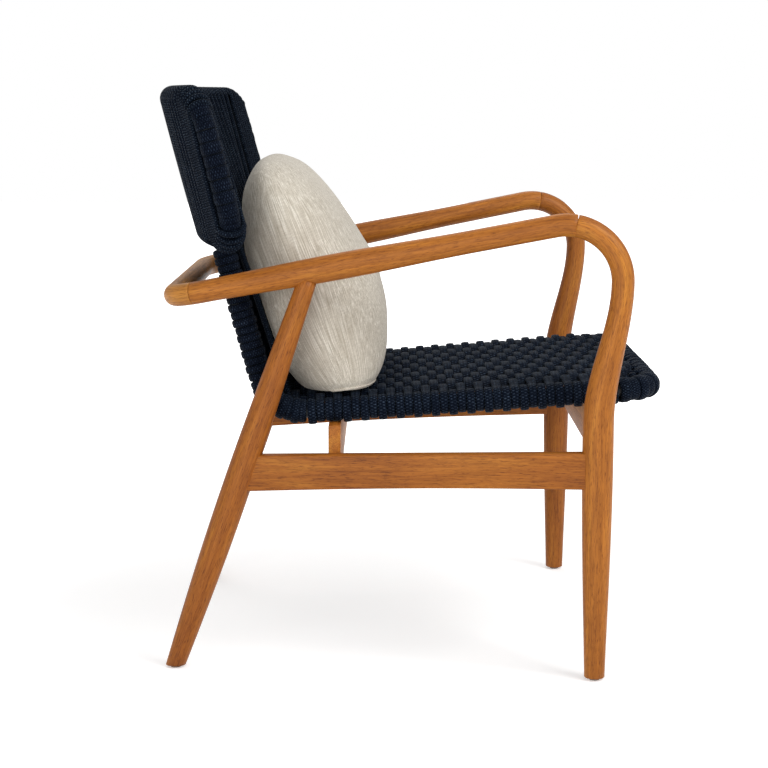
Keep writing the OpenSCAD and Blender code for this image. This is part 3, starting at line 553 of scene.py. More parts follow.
# %% Arms
REAR_RAKE = math.radians(19.3)
REAR_FOOT_BACK = 0.586
SWELL_AHEAD, SWELL_REACH = 0.040, 0.190     # in front of the rear leg, and along the arm
REAR_FOOT_U = REAR_FOOT_BACK / math.cos(TOE_IN)
ARM_START_U = BEND_U - BEND_R * math.cos(BEND_END)
ARM_START_Z = BEND_Z + BEND_R * math.sin(BEND_END)
REAR_TOP_Z = ((ARM_START_Z + (ARM_START_U - REAR_FOOT_U) * math.tan(SIDE_SLOPE))
              / (1 - math.tan(REAR_RAKE) * math.tan(SIDE_SLOPE)))
REAR_TOP_U = REAR_FOOT_U - REAR_TOP_Z * math.tan(REAR_RAKE)
SWELL_MID = (REAR_TOP_U - ARM_START_U) / math.cos(SIDE_SLOPE) - SWELL_AHEAD
SWELL_HALF = min(SWELL_REACH, SWELL_MID)


def arm(side):
    bend = np.linspace(ARM_JOINT, BEND_END, 6)[:-1]
    run = np.linspace(0, ARM_RUN, 40)
    corner = np.linspace(0, BOW_JOINT, 6)[1:]
    points = np.concatenate([
        bend_points(side, bend), arm_points(side, run), corner_points(side, corner)])
    offset = (run - SWELL_MID) / SWELL_HALF
    swell = np.where(abs(offset) < 1, ARM_SWELL * np.cos(np.pi / 2 * offset) ** 2, 0)
    width = np.full(len(points), ARM_R)
    depth = width.copy()
    depth[len(bend):len(bend) + len(run)] += swell / 2
    points, (depth, width) = eased_ends(points, (depth, width))
    wooden("arm_" + SIDES[side], sweep(points, outward(side), width, depth, WOOD_SIDES), TEAK)


for side in SIDES:
    arm(side)


# %% Back bow
def back_bow():
    angle = np.linspace(BOW_JOINT, math.pi / 2 - ARM_TURN, 24)
    left = corner_points(LEFT, angle)
    right = (left * (-1, 1, 1))[::-1]
    straight = np.linspace(left[-1], right[0], 12)[1:-1]
    points = np.concatenate([left, straight, right])
    half = np.full(len(points), ARM_R)
    points, (half_a, half_b) = eased_ends(points, (half, half))
    # A slant square to the plane of the bow stays square to the whole middle line
    skin = sweep(points, np.cross(*arm_way(LEFT)), half_a, half_b, WOOD_SIDES)
    wooden("back_bow", skin, PALE_TEAK, "pale_teak")


back_bow()

# %% Rear legs
REAR_FOOT_D, REAR_BELLY_D, REAR_TOP_D, BELLY_AT = 0.0265, 0.0395, 0.0265, 0.45
NECK_POWER = 1.3
REAR_LENGTH = REAR_TOP_Z / math.cos(REAR_RAKE)
REAR_END = 0.012            # short of the arm's middle line, and below the floor before the cut


def cut_level(mesh, height):
    """Cuts a mesh off below a height, and closes the cut."""
    work = bmesh.new()
    work.from_mesh(mesh)
    parts = work.verts[:] + work.edges[:] + work.faces[:]
    cut = bmesh.ops.bisect_plane(work, geom=parts, plane_co=(0, 0, height), plane_no=(0, 0, -1),
                                 clear_outer=True)
    edges = [e for e in cut["geom_cut"] if isinstance(e, bmesh.types.BMEdge)]
    bmesh.ops.holes_fill(work, edges=edges)
    work.to_mesh(mesh)
    work.free()


def rear_leg(side):
    way = unit(-math.sin(REAR_RAKE) * back_along(side) + math.cos(REAR_RAKE) * UP)
    t = np.linspace(0, 1, 48)
    rise = np.sin(np.pi / 2 * np.clip(t / BELLY_AT, 0, 1))
    rest = np.clip((t - BELLY_AT) / (1 - BELLY_AT), 0, 1)
    low = REAR_FOOT_D + (REAR_BELLY_D - REAR_FOOT_D) * rise
    high = REAR_TOP_D + (REAR_BELLY_D - REAR_TOP_D) * np.cos(np.pi / 2 * rest) ** NECK_POWER
    half = np.where(t < BELLY_AT, low, high) / 2
    points = in_side(side, REAR_FOOT_U, 0) + (t * (REAR_LENGTH - REAR_END))[:, None] * way
    points = np.concatenate([points[:1] - REAR_END * way, points])
    half = np.concatenate([half[:1], half])
    name = "rear_leg_" + SIDES[side]
    skin = sweep(points, outward(side), half, half, WOOD_SIDES)
    piece = join_skins("teak_" + name, [skin], TONE_AND_SHADE_TEAK)
    cut_level(piece.data, GLIDE_T)
    place(piece, "teak", name)


for side in SIDES:
    rear_leg(side)
print("rear legs, length:", round(REAR_LENGTH, 4))


# %% [markdown]
# ## Rails
# The stretchers and the two rails are flat boards with softly rounded edges. A board starts as
# its outline, is pushed out to its thickness and gets a small bevel.

# %% Boards
EDGE_ROUND = 0.0022
BEVEL_FROM, SHARP_FROM = math.radians(40), math.radians(35)


def vertex_places(mesh):
    flat = np.empty(len(mesh.vertices) * 3)
    mesh.vertices.foreach_get("co", flat)
    return flat.reshape(-1, 3)


def apply_modifiers(piece):
    """Makes what the modifiers show the piece's own mesh."""
    bpy.context.view_layer.update()
    graph = bpy.context.evaluated_depsgraph_get()
    finished = bpy.data.meshes.new_from_object(piece.evaluated_get(graph))
    piece.modifiers.clear()
    piece.data = finished


def board(node, outline, thickness, origin, x, y, wood):
    """A board: outline in the plane of x and y through origin, thickness about that plane."""
    z = np.cross(x, y)
    work = bmesh.new()
    corners = [origin + p[0] * x + p[1] * y - z * thickness / 2 for p in outline]
    face = work.faces.new([work.verts.new(c) for c in corners])
    grown = bmesh.ops.extrude_face_region(work, geom=[face])
    moved = [v for v in grown["geom"] if isinstance(v, bmesh.types.BMVert)]
    bmesh.ops.translate(work, verts=moved, vec=z * thickness)
    bmesh.ops.recalc_face_normals(work, faces=work.faces)
    mesh = bpy.data.meshes.new("teak_" + node)
    work.to_mesh(mesh)
    work.free()
    mesh.materials.append(wood)
    piece = new_object("teak_" + node, mesh)
    bevel = piece.modifiers.new("round", "BEVEL")
    bevel.width = EDGE_ROUND
    bevel.segments = 3
    bevel.limit_method = "ANGLE"
    bevel.angle_limit = BEVEL_FROM
    apply_modifiers(piece)
    store(piece.data, "grain", (vertex_places(piece.data) - origin) @ np.stack([z, y, x], 1))
    smooth_shaded(piece.data)
    piece.data.set_sharp_from_angle(angle=SHARP_FROM)
    place(piece, "teak", node)


# %% Stretchers and rails
STRETCHER_T, STRETCHER_H, STRETCHER_Z = 0.022, 0.050, 0.268
STRETCHER_FROM, STRETCHER_DROP, STRETCHER_ARCH = 0.00925, 0.012, 0.003


def side_stretcher(side):
    node = "side_stretcher_" + SIDES[side]
    low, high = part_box(node)
    length = (high[1] - low[1] - STRETCHER_T * math.sin(TOE_IN)) / math.cos(TOE_IN)
    run_to = STRETCHER_FROM + length
    t = np.linspace(0, 1, 14)
    run = STRETCHER_FROM + (run_to - STRETCHER_FROM) * t
    under = STRETCHER_Z - STRETCHER_DROP * t + STRETCHER_ARCH * np.sin(np.pi * t)
    outline = [*zip(run, under), (run_to, STRETCHER_Z - STRETCHER_DROP + STRETCHER_H),
               (STRETCHER_FROM, STRETCHER_Z + STRETCHER_H)]
    board(node, outline, STRETCHER_T, in_side(side, 0, 0), back_along(side), UP, TONE_AND_SHADE_TEAK)


def straight_rail(node):
    low, high = (np.array(corner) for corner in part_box(node))
    half = (high - low) / 2
    outline = [(x * half[0], z * half[2]) for x, z in SQUARE]
    board(node, outline, high[1] - low[1], (low + high) / 2, OUT, UP, TEAK)


for side in SIDES:
    side_stretcher(side)
for node in ("front_rail", "cross_rail"):
    straight_rail(node)


# %% [markdown]
# ## Rope
# The rope is braided from dark navy yarn. Its surface shows small crossing bundles, with light
# glints painted on them as painted highlights. Two sets of slanting waves on the map of each strand
# make the braid, and the grooves between neighbouring strands are darker with painted shade.

# %% Rope material
WAVE_UNIT = 2 * math.pi / 20        # a wave texture of this scale repeats once in a metre
BRAID_SLANT, BRAID_DEPTH, BRAID_PERIOD = 58, 0.0006, 0.0032
GROOVE_REACH = 0.004                # how far a strand looks for its neighbour, for the painted shade in the grooves
# Painted highlights: where this noise is high, the braid turns to its light colour
PAINTED_GLINTS = ((0.42, (0.14, 0.14, 0.14)), (0.70, (1, 1, 1)))
UNEVEN_DYE = ((0.35, (0.75, 0.78, 0.84)), (0.65, (1.15, 1.12, 1.10)))
PAINTED_GROOVE_SHADE = ((0.30, (0.22, 0.24, 0.28)), (0.92, (1.28, 1.26, 1.22)))


def slanted_wave(tree, vector, slant, period):
    turn = add_node(tree, "ShaderNodeMapping", {
        "Vector": vector, "Rotation": (0, 0, math.radians(slant))})
    wave = add_node(tree, "ShaderNodeTexWave", {
        "Vector": turn.outputs["Vector"], "Scale": WAVE_UNIT / period},
        wave_type="BANDS", bands_direction="X")
    return wave.outputs["Fac"]


def braided(name, dark, light, period=BRAID_PERIOD):
    material, tree = new_material(name)
    pattern = add_node(tree, "ShaderNodeUVMap", uv_map="pattern").outputs["UV"]
    braid = calculated(tree, "MULTIPLY", slanted_wave(tree, pattern, BRAID_SLANT, period),
                       slanted_wave(tree, pattern, -BRAID_SLANT, period))
    spot = add_node(tree, "ShaderNodeTexCoord").outputs["Object"]
    # Painted highlights: noise picks out light glints that lift the braid to its light colour
    painted_glints = ramp(tree, noise(tree, spot, 480, 2, 0.5), PAINTED_GLINTS)
    height = calculated(tree, "MULTIPLY", braid, painted_glints)
    # The light colour is partly the braid's own pattern and partly painted highlight
    colour = ramp(tree, height, ((0.03, dark), (0.70, light)))
    colour = shaded(tree, colour, noise(tree, spot, 30, 2, 0.5), UNEVEN_DYE)
    # Painted shade: ambient occlusion darkens the grooves between strands and lightens the open
    # tops
    grooves = add_node(tree, "ShaderNodeAmbientOcclusion", {"Distance": GROOVE_REACH},
                       samples=8, only_local=True)
    colour = shaded(tree, colour, grooves.outputs["AO"], PAINTED_GROOVE_SHADE)
    finish_shader(tree, colour, 0.6, bump(tree, braid, 0.9, BRAID_DEPTH), 0.03,
                  Sheen_Weight=0.04, Sheen_Roughness=0.35, Sheen_Tint=(0.72, 0.86, 1.0))
    return material


ROPE = braided("rope", (0.0012, 0.0028, 0.0074), (0.031, 0.047, 0.074))
# A darker copy of the rope for the posts and the wings: painted shade
PAINTED_SHADE_ROPE = braided("painted_shade_rope", (0.0008, 0.0018, 0.0055), (0.023, 0.036, 0.060))
CORD = braided("cord", (0.0010, 0.0024, 0.0062), (0.033, 0.049, 0.073), 0.0030)
print("ropes:", ROPE.name, PAINTED_SHADE_ROPE.name, CORD.name)


# %% [markdown]
# ## Places of the woven shell
# Two hoops of round tube carry all the rope. The seat hoop runs along both sides, turns up at the
# rear and ends as two posts. The back hoop curves round behind them. These are the same lines that
# the solid model uses, worked out again here so that the rope can be laid on them exactly.

# %% Lines of the metal tubes
TUBE_R, CLEAR = 0.010, 0.00015
ROPE_T, WING_ROPE_T, CORD_D = 0.0065, 0.0045, 0.0075
ROPE_R = TUBE_R + CLEAR + ROPE_T / 2
WOUND_R = TUBE_R + CLEAR + ROPE_T
NOSE_Y, NOSE_Z = FOOT_Y - 0.082, 0.397
CORNER_Y = FOOT_Y + 0.449
HALF_FRONT, HALF_REAR = 0.252, 0.232
SEAT_SLOPE = math.radians(4.2)
FRONT_R, REAR_R, WING_R = 0.045, 0.060, 0.046
TOP_Y, TOP_Z = FOOT_Y + 0.600, 0.794
SHOULDER_Y, SHOULDER_Z = FOOT_Y + 0.551, 0.607
BACK_R, WING_HALF = 0.820, 0.320
LOW_WING_ROOM = WING_R * 1.2        # the wings take a wider bend at their foot
SEAT_UP = np.array([0, math.sin(SEAT_SLOPE), math.cos(SEAT_SLOPE)])
SEAT_BACK = np.array([0, math.cos(SEAT_SLOPE), -math.sin(SEAT_SLOPE)])


def seat_z(y):
    return NOSE_Z - (y - NOSE_Y) * math.tan(SEAT_SLOPE)


def seat_half(y):
    t = (y - NOSE_Y) / (CORNER_Y - NOSE_Y)
    return HALF_FRONT + (HALF_REAR - HALF_FRONT) * t


def curve_y(y, x):
    return y - BACK_R + math.sqrt(BACK_R ** 2 - x ** 2)


def seat_corner(side):
    return np.array([side * HALF_FRONT, NOSE_Y, NOSE_Z])


def rear_corner(side):
    return np.array([side * HALF_REAR, CORNER_Y, seat_z(CORNER_Y)])


def post_top(side):
    return np.array([side * HALF_REAR, curve_y(SHOULDER_Y, HALF_REAR), SHOULDER_Z])


def seat_way(side):
    return unit(rear_corner(side) - seat_corner(side))


def post_way(side):
    return unit(post_top(side) - rear_corner(side))


print("half width of the seat, front and rear:", seat_half(NOSE_Y), seat_half(CORNER_Y))


# %% Bends and wings of the hoops
def turn_between(u, v):
    return math.acos(float(np.clip(np.dot(u, v), -1, 1)))


def tangent(u, v, r):
    return r * math.tan(turn_between(u, v) / 2)


def bend(corner, u, v, r, count=24):
    """Points of a bend of radius r that turns way u into way v at a corner."""
    n = unit(v - np.dot(u, v) * u)
    centre = corner - u * tangent(u, v, r) + n * r
    a = np.linspace(0, turn_between(u, v), count)[:, None]
    return centre - n * r * np.cos(a) + u * r * np.sin(a)


def arc_half(room):
    return math.asin(WING_HALF / math.hypot(BACK_R, room)) - math.atan(room / BACK_R)


TOP_ARC, LOW_ARC = arc_half(WING_R), arc_half(LOW_WING_ROOM)


def arc_way(side, a):
    return np.array([side * math.cos(a), -math.sin(a), 0])


def wing_corner(side, y, z, a, room):
    end = np.array([side * BACK_R * math.sin(a), y - BACK_R * (1 - math.cos(a)), z])
    return end + room * arc_way(side, a)


def top_corner(side):
    return wing_corner(side, TOP_Y, TOP_Z, TOP_ARC, WING_R)


def low_corner(side):
    return wing_corner(side, SHOULDER_Y, SHOULDER_Z, LOW_ARC, LOW_WING_ROOM)


def wing_way(side):
    return unit(low_corner(side) - top_corner(side))


REAR_MID = rear_corner(RIGHT) + unit(post_way(RIGHT) - seat_way(RIGHT)) * REAR_R * (
    1 / math.cos(turn_between(seat_way(RIGHT), post_way(RIGHT)) / 2) - 1)
print("rear tube of the seat at depth and height", REAR_MID[1:].round(4))

# %% [markdown]
# ## Turns of rope on the tubes
# Rope is wound on each tube, turn against turn. Every turn has the same shape, and only its place
# and a small tilt differ, so Geometry Nodes lay the turns: one modelled turn is repeated along the
# line of the tube, with a fixed seed for the small differences.

# %% One turn of rope
TURN_SIDES, TURN_STEPS, TURN_FULLNESS = 10, 28, 0.72


def turn_mesh(width, thickness):
    """A closed ring of flat rope round the Z axis, with a map along and across the rope."""
    angle = 2 * np.pi * np.arange(TURN_STEPS) / TURN_STEPS
    outline = section(TURN_SIDES, TURN_FULLNESS)
    radius = TUBE_R + CLEAR + thickness / 2 + outline[:, 1] * thickness / 2
    x = np.cos(angle)[:, None] * radius
    y = np.sin(angle)[:, None] * radius
    z = np.broadcast_to(outline[:, 0] * width / 2, x.shape)
    around = 2 * math.pi * (TUBE_R + thickness) / TURN_STEPS
    across = 2 * (width + thickness) / TURN_SIDES
    mesh = bpy.data.meshes.new("turn")
    points = np.stack([x, y, z], 2).reshape(-1, 3)
    quads = ring_quads(TURN_STEPS, TURN_SIDES, closed=True)
    mesh.from_pydata(points.tolist(), [], quads.tolist())
    layer = mesh.uv_layers.new(name="pattern")
    turn_map = ring_map(np.arange(TURN_SIDES + 1) * across, np.arange(TURN_STEPS + 1) * around)
    layer.data.foreach_set("uv", turn_map.ravel())
    smooth_shaded(mesh)
    work = bmesh.new()
    work.from_mesh(mesh)
    bmesh.ops.recalc_face_normals(work, faces=work.faces)
    work.to_mesh(mesh)
    work.free()
    return mesh


print("one turn of rope has", TURN_SIDES * TURN_STEPS, "faces")

# %% The tree that lays turns along a line
TURN_INPUTS = {"Line": "Geometry", "Turn": "Object", "Spacing": "Float", "Tilt": "Float",
               "Uneven": "Float", "Bulge": "Float", "Seed": "Int", "Finish": "Material"}


def turns_tree():
    """Each turn gets its own small tilt and size, and every other one stands a little proud."""
    tree = bpy.data.node_groups.new("turns along a tube", "GeometryNodeTree")
    tree.is_modifier = True
    for name, kind in TURN_INPUTS.items():
        tree.interface.new_socket(name, in_out="INPUT", socket_type="NodeSocket" + kind)
    tree.interface.new_socket("Rope", in_out="OUTPUT", socket_type="NodeSocketGeometry")
    given = add_node(tree, "NodeGroupInput").outputs
    curve = add_node(tree, "GeometryNodeMeshToCurve", {"Mesh": given["Line"]})
    spaced = add_node(tree, "GeometryNodeResampleCurve", {
        "Curve": curve.outputs["Curve"], "Length": given["Spacing"]}, mode="LENGTH")
    way = add_node(tree, "GeometryNodeInputTangent")
    upright = add_node(tree, "FunctionNodeAlignRotationToVector", {"Vector": way.outputs[0]},
                       axis="Z")
    least, most = (add_node(tree, "ShaderNodeCombineXYZ", {"X": tilt, "Y": tilt}).outputs[0]
                   for tilt in (calculated(tree, "MULTIPLY", given["Tilt"], -1), given["Tilt"]))
    wobble = add_node(tree, "FunctionNodeRandomValue", {0: least, 1: most, "Seed": given["Seed"]},
                      data_type="FLOAT_VECTOR")
    tilt = add_node(tree, "FunctionNodeEulerToRotation", {0: wobble.outputs[0]})
    turned = add_node(tree, "FunctionNodeRotateRotation", {
        0: upright.outputs[0], 1: tilt.outputs[0]}, rotation_space="LOCAL")
    smallest = calculated(tree, "SUBTRACT", 1, given["Uneven"])
    size = add_node(tree, "FunctionNodeRandomValue", {
        2: smallest, 3: 1, "Seed": given["Seed"]}, data_type="FLOAT")
    number = add_node(tree, "GeometryNodeInputIndex").outputs[0]
    odd = calculated(tree, "MODULO", number, 2)
    proud = calculated(tree, "MULTIPLY_ADD", odd, given["Bulge"], size.outputs[1])
    scale = add_node(tree, "ShaderNodeCombineXYZ", {"X": proud, "Y": proud, "Z": 1})
    shape = add_node(tree, "GeometryNodeObjectInfo", {"Object": given["Turn"]})
    laid = add_node(tree, "GeometryNodeInstanceOnPoints", {
        "Points": spaced.outputs["Curve"], "Instance": shape.outputs["Geometry"],
        "Rotation": turned.outputs[0], "Scale": scale.outputs[0]})
    real = add_node(tree, "GeometryNodeRealizeInstances", {0: laid.outputs[0]})
    finish = add_node(tree, "GeometryNodeSetMaterial", {
        "Geometry": real.outputs[0], "Material": given["Finish"]})
    add_node(tree, "NodeGroupOutput", {"Rope": finish.outputs[0]})
    return tree


TURNS = turns_tree()
print("the tree of the turns has", len(TURNS.nodes), "nodes")

# %% Winding a tube
WOBBLE = {"Tilt": 0.02, "Uneven": 0.04}
A_HAIR_LESS = 0.9995        # so that rounding never drops the last turn


def wound_mesh(lines, width, thickness, spacing, seed, bulge=0.0):
    """The mesh of the turns along each of several lines, each a row of points."""
    edges, first = [], 0
    for line in lines:
        edges += [(first + i, first + i + 1) for i in range(len(line) - 1)]
        first += len(line)
    mesh = bpy.data.meshes.new("line")
    mesh.from_pydata(np.concatenate(lines).tolist(), edges, [])
    turn = new_object("turn", turn_mesh(width, thickness))
    guide = new_object("line", mesh)
    modifier = guide.modifiers.new("turns", "NODES")
    modifier.node_group = TURNS
    values = {"Turn": turn, "Spacing": spacing * A_HAIR_LESS, "Bulge": bulge, "Seed": seed,
              "Finish": ROPE, **WOBBLE}
    for item in TURNS.interface.items_tree:
        if item.item_type == "SOCKET" and item.name in values:
            modifier[item.identifier] = values[item.name]
    apply_modifiers(guide)
    wound = guide.data
    for extra in (turn, guide):
        bpy.data.objects.remove(extra)
    return wound


def join_meshes(name, meshes, material):
    """One object from several finished meshes that share their map."""
    work = bmesh.new()
    for mesh in meshes:
        work.from_mesh(mesh)
    joined = bpy.data.meshes.new(name)
    work.to_mesh(joined)
    work.free()
    joined.materials.clear()
    joined.materials.append(material)
    joined.polygons.foreach_set("material_index", np.zeros(len(joined.polygons), np.int32))
    return new_object(name, joined)


def inset_line(points, inset):
    """A row of points shortened at both ends."""
    points = np.asarray(points)
    along = lengths_along(points)
    wanted = np.linspace(inset, along[-1] - inset, max(len(points), 2))
    return np.stack([np.interp(wanted, along, points[:, k]) for k in range(3)], 1)


def turns_on(points, about, width, thickness, seed, bulge=0.0):
    """Whole turns that fill a line, about so far apart and so many spacings wide."""
    length = lengths_along(np.asarray(points))[-1]
    spacing = length / max(round(length / about), 1)
    line = inset_line(points, spacing / 2)
    return wound_mesh([line], spacing * width, thickness, spacing, seed, bulge)


print("turns tilt by up to", WOBBLE["Tilt"], "radians and shrink by up to", WOBBLE["Uneven"])

# %% Turns on the posts, the wings and the corners
POST_SPACING, WING_SPACING, WING_BEND_SPACING = 0.011, 0.0157, 0.0074
WING_WIDTH, WING_BEND_WIDTH, SEAT_BEND_WIDTH = 1.01, 1.30, 1.34
POST_BULGE, WING_BULGE, SEAT_BEND_BULGE = 0.06, 0.05, 0.10
POST_GAPS = 0.001, 0.002               # at the foot and at the top of a post
SEAT_BEND_SPACINGS = 0.0117, 0.0092    # front and rear bends of the seat's sides
POST_SEED, WING_SEED, WING_BEND_SEED, SEAT_BEND_SEED = 11, 25, 21, 31
CORDED_SHARE = 0.6                     # of the top bend of a wing, left to the back's cords


def post_turns(side):
    u = post_way(side)
    start = rear_corner(side) + (tangent(seat_way(side), u, REAR_R) + POST_GAPS[0]) * u
    end = post_top(side) - (WOUND_R + POST_GAPS[1]) * u
    mesh = turns_on([start, end], POST_SPACING, 1, ROPE_T, POST_SEED + side, POST_BULGE)
    name = "post_turns_" + SIDES[side]
    place(join_meshes("rope_" + name, [mesh], PAINTED_SHADE_ROPE), "rope", name)


def wing_turns(side):
    down = wing_way(side)
    top, low = arc_way(side, TOP_ARC), arc_way(side, LOW_ARC)
    top_bend = bend(top_corner(side), top, down, WING_R)
    low_bend = bend(low_corner(side), down, -low, WING_R)
    top_rest = top_bend[int(CORDED_SHARE * (len(top_bend) - 1)):]
    meshes = [turns_on(points, WING_BEND_SPACING, WING_BEND_WIDTH, WING_ROPE_T, seed)
              for seed, points in enumerate((top_rest, low_bend), WING_BEND_SEED)]
    meshes.append(turns_on([top_bend[-1], low_bend[0]], WING_SPACING, WING_WIDTH, WING_ROPE_T,
                           WING_SEED + side, WING_BULGE))
    name = "wing_turns_" + SIDES[side]
    place(join_meshes("rope_" + name, meshes, PAINTED_SHADE_ROPE), "rope", name)


def seat_corner_turns(side):
    bends = (bend(seat_corner(side), side * OUT, seat_way(side), FRONT_R),
             bend(rear_corner(side), seat_way(side), post_way(side), REAR_R))
    meshes = [turns_on(points, SEAT_BEND_SPACINGS[number], SEAT_BEND_WIDTH, ROPE_T,
                       SEAT_BEND_SEED + number, SEAT_BEND_BULGE)
              for number, points in enumerate(bends)]
    piece = join_meshes("rope_corners_" + SIDES[side], meshes, ROPE)
    place(piece, "rope", "seat_turns_" + SIDES[side])


for side in SIDES:
    post_turns(side)
    wing_turns(side)
    seat_corner_turns(side)

# %% [markdown]
# ## Woven seat
# Long ropes run from the front tube to the back. Flat rope crosses them, over one and under the
# next, and goes round the tube at each side. Next rows take the other way, so the floats lie like
# bricks. Each row is one continuous rope here, from under one tube to under the other.

# %% Ropes from front to back
ROPE_SIDES = 12
ALONG_COUNT = 9
ALONG_MARGIN = 0.022                # from the bend's corner to where the spacing is counted from
ALONG_PITCH = 2 * (HALF_FRONT - ALONG_MARGIN) / (ALONG_COUNT + 1)
ALONG_D = ROPE_T - 0.0007
ALONG_X = (np.arange(ALONG_COUNT) - (ALONG_COUNT - 1) / 2) * ALONG_PITCH
ALONG_FROM, ALONG_SHORT = 0.004, 0.003      # behind the front tube, and short of the rear rope
UNDER_WRAP = 250                    # degrees from the top of a tube to the rope's end under it
BEND_STEPS = 30


def weave_point(x, y, lift):
    return np.array([x, y, seat_z(y)]) + (ROPE_R + lift) * SEAT_UP


def along_skin(x):
    angle = np.radians(np.linspace(UNDER_WRAP, 0, BEND_STEPS))[:, None]
    round_nose = np.array([x, NOSE_Y, NOSE_Z]) + ROPE_R * (
        np.cos(angle) * SEAT_UP - np.sin(angle) * SEAT_BACK)
    depths = np.linspace(NOSE_Y + ALONG_FROM, REAR_MID[1] - WOUND_R - ALONG_SHORT, 30)
    straight = np.stack([weave_point(x, y, 0) for y in depths])
    return sweep(np.concatenate([round_nose, straight]), OUT, ALONG_D / 2, ALONG_D / 2, ROPE_SIDES)


place(join_skins("rope_along", [along_skin(x) for x in ALONG_X], ROPE), "rope", "seat_ropes_along")

# %% Rows from side to side
ROW_PITCH, ROW_WIDTH = 0.0123, 0.0122
WAVE = (ROPE_T + ALONG_D) / 2 + 0.0002
WAVE_STEP, WAVE_POWER = 0.0036, 0.36        # a small power keeps the floats flat
CALM = 0.024                # the wave dies away over this length at the ends of a row
ROW_FULLNESS = 0.62
WEAVE_FROM = NOSE_Y + tangent(OUT, seat_way(RIGHT), FRONT_R) + 0.002
REAR_TANGENT = tangent(seat_way(RIGHT), post_way(RIGHT), REAR_R)
WEAVE_TO = CORNER_Y - REAR_TANGENT * math.cos(SEAT_SLOPE)
ROWS = int((WEAVE_TO - WEAVE_FROM) / ROW_PITCH)
ROW_SPREAD = 0.0005         # a row lies flatter, and so wider, where it is woven
SIDE_SLACK = 0.0030         # every other row hangs a little lower on the outside
SLACK_FROM, SLACK_OVER = math.radians(60), np.pi / 1.2      # angles from the top of the tube
ROW_BEND_FROM = 4           # degrees from the top, where the woven part ends
SUPPORT_DEPTHS, WELD_ROOM = (FOOT_Y, FOOT_Y + 0.359), 0.0165
WELD_WRAP = 158             # where a support tube meets the side tube the rope ends higher


def crossing(y, half, first_over):
    """The part of a row that weaves over and under the long ropes."""
    x = np.linspace(-half, half, int(half / WAVE_STEP) | 1)
    over = soft(np.cos(np.pi * x / ALONG_PITCH), WAVE_POWER)
    calm = ease((half - np.abs(x)) / CALM)
    lift = first_over * WAVE * over * calm
    return np.array([weave_point(px, y, up) for px, up in zip(x, lift)])


def flat_row(points, half_width):
    return sweep(points, SEAT_BACK, half_width, ROPE_T / 2, ROPE_SIDES, ROW_FULLNESS)


def first_way(number):
    """Rows go over and under the first long rope by turns."""
    return 1 if number % 2 == 0 else -1


def row_skin(number):
    """A row from under one side tube to under the other."""
    y = WEAVE_FROM + (number + 0.5) * ROW_PITCH
    half, z = seat_half(y), seat_z(y)
    welded = min(abs(y - depth) for depth in SUPPORT_DEPTHS) < WELD_ROOM
    wrap = WELD_WRAP if welded else UNDER_WRAP
    angle = np.radians(np.linspace(wrap, ROW_BEND_FROM, BEND_STEPS))
    slack = 0 if welded or number % 2 else SIDE_SLACK
    radius = ROPE_R + slack * np.sin(np.clip(angle - SLACK_FROM, 0, SLACK_OVER)) ** 2
    left, right = (np.array([side * half, y, z]) + (radius * np.sin(angle))[:, None] * side * OUT
                   + (radius * np.cos(angle))[:, None] * SEAT_UP for side in SIDES)
    points = np.concatenate([left, crossing(y, half, first_way(number)), right[::-1]])
    spread = ROW_SPREAD * ease((half - np.abs(points[:, 0])) / CALM)
    return flat_row(points, ROW_WIDTH / 2 + spread)


print("rows round the side tubes:", ROWS)

# %% Rows at the front and at the rear
FRONT_ROWS = 3
FRONT_ROWS_FROM = NOSE_Y + WOUND_R + 0.0002
FRONT_ROW_W = (WEAVE_FROM - FRONT_ROWS_FROM) / FRONT_ROWS
FRONT_ROOM = FRONT_R - 0.014        # inside the turns of the front bends
FRONT_END_GAP, FRONT_ROW_GAP = 0.001, 0.0002


def front_row_skin(number):
    """A short row between the front corners."""
    y = FRONT_ROWS_FROM + (number + 0.5) * FRONT_ROW_W
    d = FRONT_R - (y - FRONT_ROW_W / 2 - NOSE_Y)
    half = (seat_half(y) - FRONT_R + math.sqrt(max(FRONT_ROOM ** 2 - d ** 2, 0))
            - FRONT_END_GAP)
    return flat_row(crossing(y, half, -first_way(number)), FRONT_ROW_W / 2 - FRONT_ROW_GAP)


REAR_FROM = WEAVE_FROM + ROWS * ROW_PITCH
REAR_TO = REAR_MID[1] - WOUND_R - 0.0015
REAR_ROWS = max(1, round((REAR_TO - REAR_FROM) / ROW_PITCH))
REAR_ROW_W = (REAR_TO - REAR_FROM) / REAR_ROWS
REAR_END_GAP, REAR_ROW_GAP = 0.0006, 0.0001


def rear_row_skin(number):
    """A row between the two bends that turn up into the posts."""
    y = REAR_FROM + (number + 0.5) * REAR_ROW_W
    woven = crossing(y, seat_half(y) - WOUND_R - REAR_END_GAP, first_way(ROWS + number))
    return flat_row(woven, REAR_ROW_W / 2 - REAR_ROW_GAP)


rows = [skin(i) for skin, count in ((row_skin, ROWS), (front_row_skin, FRONT_ROWS),
                                    (rear_row_skin, REAR_ROWS)) for i in range(count)]
place(join_skins("rope_rows", rows, ROPE), "rope",
      "seat_ropes_across", "seat_turns_left", "seat_turns_right")
print("rows across the seat:", len(rows), "with", REAR_ROWS, "behind", round(REAR_ROW_W, 4))

# %% Turns on the front tube
FILL = round(ALONG_PITCH / ROW_PITCH) - 1
FRONT_TUBE_END = HALF_FRONT - tangent(OUT, seat_way(RIGHT), FRONT_R)
NOSE_GAP, NOSE_WIDTH, NOSE_BULGE = 0.0005, 0.99, 0.06
NOSE_SEED = 41
SHORTEST = 0.0001           # a line of one turn still needs a length


